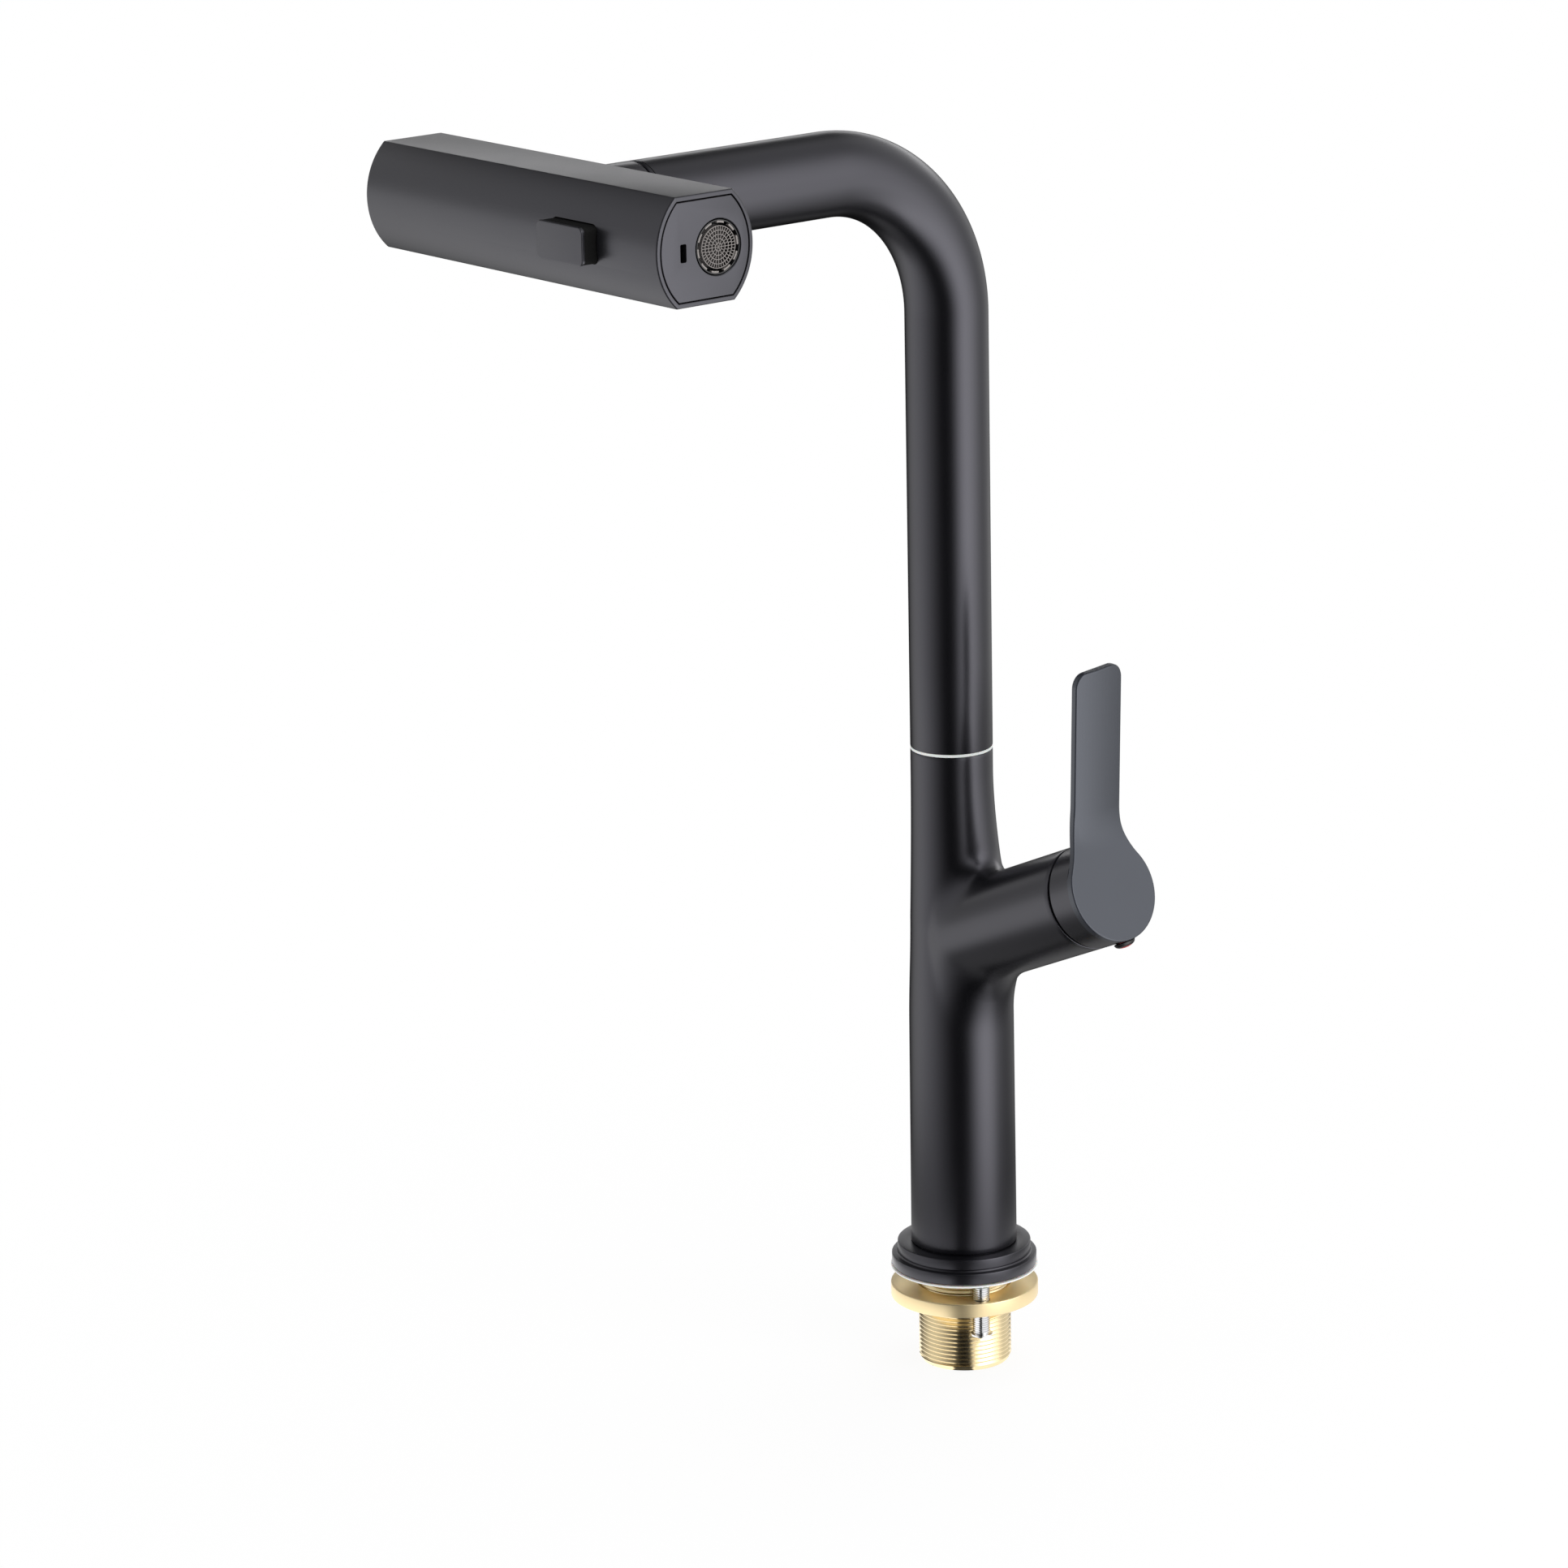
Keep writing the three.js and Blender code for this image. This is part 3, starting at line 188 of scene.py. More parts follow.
class FaucetLeverSizes(bpy.types.PropertyGroup):
    """Sizes of the lever."""

    thickness: length("Blade thickness", "Thickness of the lever's blade", 2.4)
    width: length("Blade width", "Width of the lever's blade", 20.2)
    aside: length("Blade offset", "How far the blade lies to the right of the hub's middle", 0.7)
    reach: length("Blade reach", "From the hub's centre to the blade's tip", 70.9)
    flare: length("Flare radius", "Radius that joins the hub's disc to the blade", 24)
    bend_at: length("Bend place", "From the hub's centre to the middle of the bend", 21.8)
    bend: length("Bend radius", "Radius of the blade's bend", 25)
    corner: length("Tip corner", "Radius of the blade's outer corners", 4.6)
    slant: length("Slant", "How much shorter the blade is on its left edge", 1.8)
    edge: length("Edge", "Rounding of the lever's edges", 0.5)
    crown: length("Crown", "How much the blade's face rises towards its middle", 0.8)
    lean: bpy.props.FloatProperty(
        name="Lean",
        description="How far the blade turns away from the hub's face",
        default=math.radians(25.3),
        subtype="ANGLE",
    )


class FaucetHeadSizes(bpy.types.PropertyGroup):
    """Sizes of the spray head."""

    bow: length("Side radius", "Radius of the bar's bowed front and back", 22.55)
    drop: length("Drop", "How much lower the bar's underside lies than its solid", 0.6)
    wall: length("Shell wall", "Wall of the bar's shell", 1.5)
    seam: length("Plate gap", "Gap between the shell and its end plates", 0.32)
    edge: length("Edge", "Rounding of the bar's edges", 0.6)
    aerator: length("Aerator radius", "Radius of the aerator's ring", 8.45)
    aerator_offset: length("Aerator offset", "How far the aerator lies behind the middle", 5.1)
    latch_offset: length("Latch offset", "How far the latch window lies before the middle", 8.5)
    button_at: length("Button place", "From the bar's middle to the button's", 33.8)
    nozzle: length("Nozzle radius", "Radius of one rubber spray nozzle", 1.1)


class FaucetThreads(bpy.types.PropertyGroup):
    """Sizes of the threads."""

    shank_pitch: length("Shank pitch", "Pitch of the mounting shank's thread", 1.5)
    shank_depth: length("Shank depth", "Depth of the mounting shank's thread", 0.92)
    screw_pitch: length("Screw pitch", "Pitch of the clamp screws' thread", 0.8)
    screw_depth: length("Screw depth", "Depth of the clamp screws' thread", 0.55)


class FaucetColours(bpy.types.PropertyGroup):
    """Colours of the coats and the bare materials."""

    coat: colour("Coat", "Satin black powder coat", (0.003, 0.003, 0.004))
    head_coat: colour("Head coat", "Charcoal coat of the spray head", (0.008, 0.008, 0.0095))
    # A lighter, bluer copy of the coat for the lever's face and blade: painted light where they
    # catch the studio's light.
    lever_coat: colour("Lever coat", "Charcoal coat of the lever", (0.016, 0.018, 0.024))
    brass: colour("Brass", "Bare turned brass", (0.88, 0.72, 0.43))
    steel: colour("Steel", "Bright steel", (0.78, 0.78, 0.79))
    rubber: colour("Rubber", "Black rubber", (0.008, 0.008, 0.008))
    moulding: colour("Moulding", "Black moulded plastic", (0.008, 0.008, 0.009))
    white: colour("White plastic", "Natural white plastic", (0.82, 0.82, 0.8))
    grey: colour("Grey plastic", "Light grey plastic", (0.36, 0.36, 0.36))
    # One light grey for the web and its tabs: the web's own grey, and on the tabs a painted
    # highlight for the glints on their edges.
    web: colour("Web", "The aerator's web and tabs", (0.27, 0.25, 0.24))
    gasket: colour("Gasket", "Milky sealing ring", (0.88, 0.88, 0.87))
    ceramic: colour("Ceramic", "Polished ceramic", (0.87, 0.86, 0.8))
    braid: colour("Braid", "Grey braided sleeve", (0.2, 0.2, 0.21))
    # A near-black screen behind the web: a real fine screen, with its darkness as painted shade
    # deep in the cells.
    screen: colour("Aerator screen", "Fine screen behind the aerator's web", (0.006, 0.003, 0.003))
    hot_mark: colour("Red mark", "Red centre of the index plug", (0.55, 0.03, 0.03))
    coat_gloss: share("Coat roughness", "Roughness of the black coat", 0.3)
    floor: colour("Floor", "Floor and backdrop", (0.9, 0.9, 0.9))


GROUPS = {
    "faucet_body": FaucetBodySizes,
    "faucet_lever": FaucetLeverSizes,
    "faucet_head": FaucetHeadSizes,
    "faucet_threads": FaucetThreads,
    "faucet_colours": FaucetColours,
}


def in_millimetres(group):
    """A property group as plain numbers: lengths in millimetres and colours as tuples."""
    values = {}
    for key in type(group).__annotations__:
        value, kind = getattr(group, key), group.bl_rna.properties[key]
        if kind.subtype == "COLOR":
            value = tuple(value)
        elif kind.unit == "LENGTH":
            value = value / MM
        values[key] = value
    return SimpleNamespace(**values)


# ---------------------------------------------------------------- materials


def feed(tree, socket, value):
    """Sets a socket to a number or colour, or links a signal to it."""
    if isinstance(value, Signal):
        tree.links.new(value.socket, socket)
    elif isinstance(value, (tuple, list)) and len(value) == 3 and socket.type == "RGBA":
        socket.default_value = (*value, 1)
    else:
        socket.default_value = value


def maths(tree, operation, *values):
    """The result of one Math node."""
    node = tree.nodes.new("ShaderNodeMath")
    node.operation = operation
    for socket, value in zip(node.inputs, values):
        feed(tree, socket, value)
    return Signal(tree, node.outputs[0])


class Signal:
    """A shader value that takes part in sums as a Python number does."""

    def __init__(self, tree, socket):
        self.tree = tree
        self.socket = socket

    def maths(self, operation, *others):
        """This value, with any others after it, put through a Math node."""
        return maths(self.tree, operation, self, *others)

    def __add__(self, other):
        return self.maths("ADD", other)

    def __sub__(self, other):
        return self.maths("SUBTRACT", other)

    def __rsub__(self, other):
        return maths(self.tree, "SUBTRACT", other, self)

    def __mul__(self, other):
        return self.maths("MULTIPLY", other)

    def __truediv__(self, other):
        return self.maths("DIVIDE", other)

    __radd__ = __add__
    __rmul__ = __mul__

    def step(self, low, high):
        """0 below low and 1 above high, with a smooth way between them."""
        smooth_step = {"interpolation_type": "SMOOTHSTEP"}
        return Weave(self.tree).node(
            "ShaderNodeMapRange", smooth_step, "Result", value=self, from_min=low, from_max=high
        )


class Weave:
    """A node tree under construction."""

    def __init__(self, tree):
        self.tree = tree

    def node(self, kind, settings=None, output=0, numbered=None, **named):
        """Adds a node, applies its settings, feeds its sockets and gives one of its outputs."""
        made = self.tree.nodes.new(kind)
        for key, value in (settings or {}).items():
            setattr(made, key, value)
        sockets = {key.replace("_", " ").title(): value for key, value in named.items()}
        for key, value in {**(numbered or {}), **sockets}.items():
            feed(self.tree, made.inputs[key], value)
        return Signal(self.tree, made.outputs[output]) if made.outputs else None

    def parts(self, vector):
        """The X, Y and Z of a vector."""
        first = self.node("ShaderNodeSeparateXYZ", vector=vector)
        return [Signal(self.tree, output) for output in first.socket.node.outputs]


class Finish(Weave):
    """One material under construction: its node tree and its surface shader."""

    def __init__(self, name, base, roughness, metallic=0.0, **fixed):
        self.name = name
        self.material = bpy.data.materials.new("finish_" + name)
        self.material.use_nodes = True
        self.material.diffuse_color = (*base, 1)
        super().__init__(self.material.node_tree)
        self.shader = self.tree.nodes["Principled BSDF"]
        self.base = base
        self.paint(base=base, roughness=roughness, metallic=metallic, **fixed)

    def paint(self, **values):
        """Sets or links the shader's sockets, named as in the panel but in lower case."""
        for key, value in values.items():
            label = "Base Color" if key == "base" else key.replace("_", " ").title()
            feed(self.tree, self.shader.inputs[label.replace("Ior", "IOR")], value)

    def place(self):
        """Object coordinates, in metres."""
        return self.node("ShaderNodeTexCoord", output="Object")

    def noise(self, scale, detail=2.0, vector=None):
        """A noise from 0 to 1, with a scale in cells to the metre."""
        vector = vector or self.place()
        return self.node(
            "ShaderNodeTexNoise", output="Fac", vector=vector, scale=scale, detail=detail
        )

    def mixed(self, factor, first, second):
        """A colour between two, by a factor."""
        colours = {0: factor, 6: first, 7: second}
        return self.node("ShaderNodeMix", {"data_type": "RGBA"}, 2, colours)

    def shaded(self, factor, darker, lighter):
        """The base colour, darkened and lightened by a factor from 0 to 1."""
        low = tuple(c * darker for c in self.base)
        high = tuple(min(1.0, c * lighter) for c in self.base)
        return self.mixed(factor, low, high)

    def bumped(self, height, depth):
        """Raises the surface by a height from 0 to 1 times a depth in millimetres."""
        bump = self.node("ShaderNodeBump", output="Normal", height=height, distance=depth * MM)
        self.paint(normal=bump)


def hypotenuse(x, y):
    """The distance from the origin to (x, y)."""
    return (x * x + y * y).maths("SQRT")


def turned_marks(finish, spacing):
    """A signal of fine rings about Z, as a lathe tool leaves them."""
    x, y, z = finish.parts(finish.place())
    rings = finish.node("ShaderNodeCombineXYZ", x=hypotenuse(x, y), z=z)
    return finish.noise(1 / (spacing * MM), detail=1.0, vector=rings)


def make_finishes(palette):
    """Every finish of the faucet, by name."""
    made = {}

    def keep(finish):
        made[finish.name] = finish.material
        return finish

    def coat(name, base, roughness, grain, tint):
        finish = keep(Finish(name, base, roughness, specular_ior_level=0.8, specular_tint=tint))
        fine = finish.noise(2600.0, detail=3.0)
        broad = finish.noise(60.0)
        finish.paint(
            base=finish.shaded(broad * 0.6 + fine * 0.4, 0.86, 1.14),
            roughness=fine * 0.06 + broad * 0.04 + (roughness - 0.05),
        )
        finish.bumped(fine, grain)

    coat("black_coat", palette.coat, palette.coat_gloss, 0.006, (0.9, 0.885, 1))
    coat("head_coat", palette.head_coat, palette.coat_gloss + 0.04, 0.008, (0.9, 0.89, 1))
    # The lever's coat is the black coat made lighter and bluer: painted light for its face and
    # blade.
    coat("lever_coat", palette.lever_coat, palette.coat_gloss + 0.02, 0.006, (0.86, 0.9, 1))

    def metal(name, base, roughness):
        finish = keep(Finish(name, base, roughness, metallic=1.0))
        marks = turned_marks(finish, 0.28)
        cloud = finish.noise(90.0, detail=3.0)
        finish.paint(
            base=finish.shaded(cloud, 0.9, 1.08),
            roughness=marks * 0.1 + cloud * 0.06 + (roughness - 0.07),
        )
        finish.bumped(marks, 0.01)

    metal("brass", palette.brass, 0.16)
    metal("satin_brass", palette.brass, 0.42)
    metal("steel", palette.steel, 0.16)

    def moulded(name, base, roughness, grain, **fixed):
        finish = keep(Finish(name, base, roughness, **fixed))
        grains = finish.noise(1500.0)
        cloud = finish.noise(50.0, detail=1.0)
        colour = finish.shaded(cloud, 0.92, 1.06)
        finish.paint(base=colour, roughness=grains * 0.16 + (roughness - 0.08))
        finish.bumped(grains, grain)
        return finish

    milky = {"subsurface_weight": 0.15, "subsurface_scale": 0.002}
    cloudy = {"subsurface_weight": 0.2, "subsurface_scale": 0.003}
    moulded("white_plastic", palette.white, 0.42, 0.006, **milky)
    moulded("black_plastic", palette.moulding, 0.38, 0.01)
    moulded("bare_moulding", palette.rubber, 0.6, 0.01, specular_ior_level=0.08)
    moulded("grey_plastic", palette.grey, 0.45, 0.008)
    # The web and tabs: their own grey, made lighter for the tabs as a painted highlight.
    moulded("web_plastic", palette.web, 0.5, 0.006, specular_ior_level=0.3)
    moulded("black_rubber", palette.rubber, 0.62, 0.014)
    moulded("clear_rubber", palette.gasket, 0.3, 0.008, **cloudy)
    moulded("ceramic", palette.ceramic, 0.16, 0.002, coat_weight=0.4)

    index = moulded("index_red", palette.grey, 0.3, 0.004)
    place = zip(index.parts(index.place()), PLUG_FRAME.translation * MM)
    offsets = [axis - middle for axis, middle in place]
    along, across = (
        offsets[0] * way.x + offsets[1] * way.y + offsets[2] * way.z
        for way in (PLUG_FRAME.col[2], PLUG_FRAME.col[1])
    )
    edge = hypotenuse(along, across).step(2.4 * MM, 2.7 * MM)
    index.paint(base=index.mixed(edge, palette.hot_mark, palette.moulding))

    # The screen's near-black colour is painted shade for the depth of the aerator's cells; the
    # weave is its own pattern.
    screen = keep(Finish("fine_screen", palette.screen, 0.6))
    x, y, z = screen.parts(screen.place())
    weave = (y * 9000).maths("SINE") * (z * 9000).maths("SINE")
    screen.paint(base=screen.shaded(weave.step(-0.8, 0.8), 0.5, 1.6), roughness=weave * 0.1 + 0.5)
    screen.bumped(weave, 0.05)

    braid = keep(Finish("grey_braid", palette.braid, 0.6))
    x, y, z = braid.parts(braid.place())
    turn = (x - SPOUT_X * MM).maths("ARCTAN2", z - SPOUT_Z * MM)
    left = (turn * 8 + y * 900).maths("SINE")
    right = (turn * 8 - y * 900).maths("SINE")
    plait = (left * right).step(-0.6, 0.6)
    braid.paint(base=braid.shaded(plait, 0.5, 1.5), roughness=plait * 0.2 + 0.45)
    braid.bumped(plait, 0.15)
    return made


# ---------------------------------------------------------------- mesh work


FINISHES = {}


def linked(name, data):
    """A new object in the scene."""
    piece = bpy.data.objects.new(name, data)
    bpy.context.scene.collection.objects.link(piece)
    return piece


def mesh_piece(name, points, faces, place=COLUMN_FRAME, crease=30):
    """A piece from points in millimetres and faces, put in place, closed and smooth-shaded."""
    mesh = bpy.data.meshes.new(name)
    mesh.from_pydata([tuple(p) for p in points], [], faces)
    work = bmesh.new()
    work.from_mesh(mesh)
    bmesh.ops.remove_doubles(work, verts=work.verts, dist=0.002)
    bmesh.ops.dissolve_degenerate(work, edges=work.edges, dist=0.001)
    bmesh.ops.recalc_face_normals(work, faces=work.faces)
    work.to_mesh(mesh)
    work.free()
    mesh.transform(Matrix.Scale(MM, 4) @ place)
    piece = linked(name, mesh)
    smooth(piece, crease)
    return piece


def smooth(piece, crease=30):
    """Smooth shading, with edges sharp where faces meet at more than the crease angle."""
    piece.data.shade_smooth()
    piece.data.set_sharp_from_angle(angle=math.radians(crease))


def rounded(corners, steps=4):
    """The points of a closed outline whose corners are (x, y) or (x, y, radius)."""
    points = []
    count = len(corners)
    for i, corner in enumerate(corners):
        here = np.array(corner[:2], float)
        radius = corner[2] if len(corner) > 2 else 0
        back = np.array(corners[i - 1][:2], float) - here
        ahead = np.array(corners[(i + 1) % count][:2], float) - here
        if radius <= 0:
            points.append(tuple(here))
            continue
        back /= np.linalg.norm(back)
        ahead /= np.linalg.norm(ahead)
        half = math.acos(max(-1, min(1, float(back @ ahead)))) / 2
        middle = (back + ahead) / np.linalg.norm(back + ahead)
        centre = here + middle * radius / math.sin(half)
        first = here + back * radius / math.tan(half) - centre
        last = here + ahead * radius / math.tan(half) - centre
        sweep = math.atan2(first[0] * last[1] - first[1] * last[0], float(first @ last))
        for k in range(steps + 1):
            turn = sweep * k / steps
            c, s = math.cos(turn), math.sin(turn)
            spot = centre + (first[0] * c - first[1] * s, first[0] * s + first[1] * c)
            points.append(tuple(spot))
    return points


def turns(count):
    """Evenly spaced angles round a circle."""
    return [TURN * i / count for i in range(count)]


def quarter(steps):
    """The sines and cosines of evenly spaced angles from 0 to a quarter turn."""
    angles = [math.pi / 2 * i / steps for i in range(steps + 1)]
    return [(math.sin(angle), math.cos(angle)) for angle in angles]


def circle(radius, height, sides):
    """The points of a level circle about Z."""
    return [(radius * math.cos(turn), radius * math.sin(turn), height) for turn in turns(sides)]


def grid_faces(rows, columns, wrap_rows=False):
    """Quads between rings of points, each ring having the same number of points."""
    faces = []
    for i in range(rows if wrap_rows else rows - 1):
        for j in range(columns):
            a, b = i * columns + j, i * columns + (j + 1) % columns
            c, d = ((i + 1) % rows) * columns + (j + 1) % columns, ((i + 1) % rows) * columns + j
            faces.append((a, b, c, d))
    return faces


def turned(name, outline, place=COLUMN_FRAME, sides=96, crease=30):
    """A piece turned about Z from a closed outline of (radius, height)."""
    points = [point for radius, height in outline for point in circle(radius, height, sides)]
    return mesh_piece(name, points, grid_faces(len(outline), sides, wrap_rows=True), place, crease)


def lofted(name, rings, place=COLUMN_FRAME, closed=True, crease=30):
    """A piece through rings of points; the last joins the first, or both ends are capped."""
    count = len(rings[0])
    points = [point for ring in rings for point in ring]
    faces = grid_faces(len(rings), count, wrap_rows=closed)
    if not closed:
        faces += [tuple(range(count))[::-1], tuple(range(len(points) - count, len(points)))]
    return mesh_piece(name, points, faces, place, crease)


def combine(piece, other, operation, crease=30):
    """Joins, cuts or intersects a piece with another, which is used up."""
    modifier = piece.modifiers.new("combine", "BOOLEAN")
    modifier.object = other
    modifier.operation = operation
    modifier.solver = "EXACT"
    settle(piece)
    bpy.data.objects.remove(other)
    smooth(piece, crease)
    return piece


def cut(piece, other):
    """Cuts a piece with another, which is used up."""
    return combine(piece, other, "DIFFERENCE")


def drill(piece, radius, low, high, place, sides=32):
    """Cuts a round hole along a place's Z."""
    outline = [(0, low), (radius, low), (radius, high), (0, high)]
    return cut(piece, turned("hole", outline, place, sides))


def mesh_block(name, size, centre, place):
    """A plain block used as a cutting tool."""
    half, signs = Vector(size) / 2, (-1, 1)
    points = [
        Vector(centre) + half * Vector((i, j, k)) for i in signs for j in signs for k in signs
    ]
    faces = [(0, 1, 3, 2), (4, 6, 7, 5), (0, 4, 5, 1), (2, 3, 7, 6), (0, 2, 6, 4), (1, 5, 7, 3)]
    return mesh_piece(name, points, faces, place)


def settle(piece):
    """Applies a piece's modifiers to its mesh."""
    graph = bpy.context.evaluated_depsgraph_get()
    made = bpy.data.meshes.new_from_object(piece.evaluated_get(graph))
    piece.modifiers.clear()
    old = piece.data
    piece.data = made
    made.name = old.name
    bpy.data.meshes.remove(old)


def dress(piece, body, finish, *nodes):
    """Gives a piece its finish, its body, its slot and the CAD nodes that it stands for."""
    piece.data.materials.clear()
    piece.data.materials.append(FINISHES[finish])
    if body:
        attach(piece, body)
    if nodes:
        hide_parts(*nodes)
    return piece


def thread(name, major, depth, pitch, low, high, place=COLUMN_FRAME, bore=0.0, sides=72):
    """A threaded rod or tube about Z whose helix fades out at both ends."""
    profile = [(0.0, 0.0), (0.05, 0.0), (0.42, 1.0), (0.58, 1.0), (0.95, 0.0)]
    root, step = major - depth, len(profile)
    first, last = math.floor(low / pitch) - 1, math.ceil(high / pitch) + 1
    rows = [(turn + part, crest) for turn in range(first, last) for part, crest in profile]
    points = []
    for row, crest in rows:
        for j, turn in enumerate(turns(sides)):
            height = min(high, max(low, pitch * (row + j / sides)))
            fade = min(1.0, (height - low) / pitch, (high - height) / pitch)
            radius = root + depth * crest * fade
            points.append((radius * math.cos(turn), radius * math.sin(turn), height))
    faces = []
    for i in range(len(rows) - 1):
        for a in range(i * sides, (i + 1) * sides - 1):
            faces.append((a, a + 1, a + sides + 1, a + sides))
    for i in range(len(rows) - 1 - step):
        a = i * sides + sides - 1
        faces.append((a, (i + step) * sides, (i + step + 1) * sides, a + sides))
    foot = len(points)
    for radius in (root, bore) if bore else (root,):
        points += circle(radius, low, sides) + circle(radius, high, sides)
    if bore:
        top, inner = foot + sides, foot + 2 * sides
        for start, end in ((foot, inner), (inner, inner + sides), (inner + sides, top)):
            for j in range(sides):
                k = (j + 1) % sides
                faces.append((start + j, start + k, end + k, end + j))
    else:
        faces += [tuple(range(foot, foot + sides))[::-1], tuple(range(foot + sides, len(points)))]
    return mesh_piece(name, points, faces, place, crease=60)


# ---------------------------------------------------------------- base and fixing


class FAUCET_OT_base(bpy.types.Operator):
    """Builds the gasket, flange, threaded shank, clamp nut and its screws"""

    bl_idname = "faucet.base"
    bl_label = "Base and fixing"

    BORE = 16.3
    SCREWS = ("clamp_screw_front", "clamp_screw_rear")

    def execute(self, context):
        threads = in_millimetres(context.scene.faucet_threads)
        self.gasket()
        self.flange(in_millimetres(context.scene.faucet_body).column_foot)
        self.shank(threads)
        self.nut()
        self.screws(threads)
        return {"FINISHED"}

    def gasket(self):
        """The sealing ring, with a thin lip that shows round the flange."""
        low, high = node_box("deck_gasket")
        inner, lip = 17, node_box("base_flange")[1].x + 0.4
        skirt = lip - 3.6
        outline = rounded([
            (inner, low.z, 0.3),
            (lip, low.z, 0.2),
            (lip, low.z + 0.5, 0.2),
            (skirt, low.z + 0.5),
            (skirt, high.z),
            (inner, high.z, 0.3),
        ])
        dress(turned("sealing_ring", outline, sides=160), "body", "clear_rubber", "deck_gasket")

    def flange(self, foot):
        """The stepped round plate that the column stands on."""
        low, high = node_box("base_flange")
        under = node_box("deck_gasket")[0].z + 0.75
        step, socket = low.z + 3.7, foot - 0.75
        outline = rounded([
            (self.BORE, low.z),
            (high.x - 3, low.z),
            (high.x - 3, under),
            (high.x, under, 0.8),
            (high.x, step, 0.35),
            (23.3, step, 0.3),
            (22.9, step + 0.5, 0.2),
            (23, step + 0.9, 0.3),
            (23, high.z, 0.35),
            (socket, high.z, 0.1),
            (socket, low.z + 3),
            (self.BORE, low.z + 3),
        ])
        dress(turned("flange", outline, sides=160), "body", "black_coat", "base_flange")

    def shank(self, threads):
        """The threaded tube under the deck."""
        low, high = node_box("mounting_shank")
        depth, pitch = threads.shank_depth, threads.shank_pitch
        tube = thread("threaded_shank", high.x, depth, pitch, low.z, high.z, bore=13.6, sides=120)
        dress(tube, "body", "brass", "mounting_shank")

    def nut(self):
        """The clamp nut, with its two screw holes."""
        low, high = node_box("lock_nut")
        outline = rounded([
            (self.BORE, low.z, 0.4),
            (high.x, low.z, 0.5),
            (high.x, high.z, 0.4),
            (self.BORE, high.z, 0.5),
        ])
        nut = turned("clamp_nut", outline, sides=160)
        for name in self.SCREWS:
            drill(nut, 3.1, low.z - 1, high.z + 1, self.screw_place(name))
        dress(nut, "body", "satin_brass", "lock_nut")

    def screw_place(self, name):
        """A frame on a clamp screw's axis."""
        x, y, _ = node_middle(name)
        return Matrix.Translation((x, y, 0))

    def screws(self, threads):
        """The clamp screws, each with a collar near its foot."""
        for name in self.SCREWS:
            low, high = node_box(name)
            collar, place = low.z + 1.1, self.screw_place(name)
            depth, pitch = threads.screw_depth, threads.screw_pitch
            screw = thread(
                name + "_thread", 2.9, depth, pitch, collar + 0.4, high.z, place, sides=40
            )
            foot = turned("foot", rounded([
                (0, low.z),
                (1.8, low.z, 0.3),
                (1.8, collar, 0.1),
                (3.8, collar, 0.2),
                (3.8, collar + 0.7, 0.2),
                (2.2, collar + 1),
                (0, collar + 1),
            ]), place, 40)
            dress(combine(screw, foot, "UNION", 50), "body", "steel", name)


# ---------------------------------------------------------------- cast body


class TowerShape:
    """The column, its blend into the neck and the side barrel, as distances from one surface."""

    SLEEVE_LOW, SLEEVE_HIGH, SHOULDER = 126.0, 177.0, 88.0
    SLEEVE_SHARE = 0.79

    def __init__(self, sizes, foot):
        self.sizes = sizes
        self.foot = foot

    def section(self, height):
        """The middle and the radius of the tower at heights."""
        sleeve = (self.SLEEVE_HIGH - height) / (self.SLEEVE_HIGH - self.SLEEVE_LOW)
        down = np.clip(sleeve, 0, 1) ** 1.7
        shoulder = np.clip((self.SLEEVE_LOW - height) / (self.SLEEVE_LOW - self.SHOULDER), 0, 1)
        shoulder = shoulder * shoulder * (3 - 2 * shoulder)
        taper = np.clip((height - self.foot) / (self.SHOULDER - self.foot), 0, 1)
        column = self.sizes.column_foot + (self.sizes.column_top - self.sizes.column_foot) * taper
        swell = self.SLEEVE_SHARE * down + (1 - self.SLEEVE_SHARE) * shoulder
        return SPOUT_X * (1 - down), self.sizes.neck + (column - self.sizes.neck) * swell

    def distance(self, points):
        """How far points lie outside the blended surface."""
        middle, radius = self.section(points[:, 2])
        across = points[:, :2] - np.stack([middle, np.zeros(len(points))], 1)
        reach = np.linalg.norm(across, axis=1)
        tower = reach - radius
        out = across / np.maximum(reach, 1e-6)[:, None]
        axis = np.array(BARREL)
        rest = points - np.array(BARREL_ROOT)
        along = np.maximum(rest @ axis, 12.0)
        aside = rest - along[:, None] * axis
        away = np.linalg.norm(aside, axis=1)
        arm = away - self.sizes.barrel
        facing = (aside[:, :2] * out).sum(1) / np.maximum(away, 1e-6)
        below = 0.5 + 0.5 * (aside @ np.array(BARREL_DOWN)) / np.maximum(away, 1e-6)
        crease = self.sizes.crease_above
        crease = crease + (self.sizes.crease_below - crease) * below
        front = np.clip((out[:, 0] + 0.15) / 0.7, 0, 1)
        width = crease * np.maximum(1 - facing, 0) ** 0.75 * front * front * (3 - 2 * front)
        width = np.maximum(width, 1e-3)
        share = np.maximum(width - np.abs(tower - arm), 0) / width
        return np.minimum(tower, arm) - share * share * width / 4

    def settled(self, points, rounds=8):
        """Points moved onto the surface."""
        for _ in range(rounds):
            value = self.distance(points)
            slope = np.stack([
                (self.distance(points + e) - self.distance(points - e)) / 0.02
                for e in np.eye(3) * 0.01
            ], 1)
            points = points - (value / np.maximum((slope * slope).sum(1), 0.1))[:, None] * slope
        return points


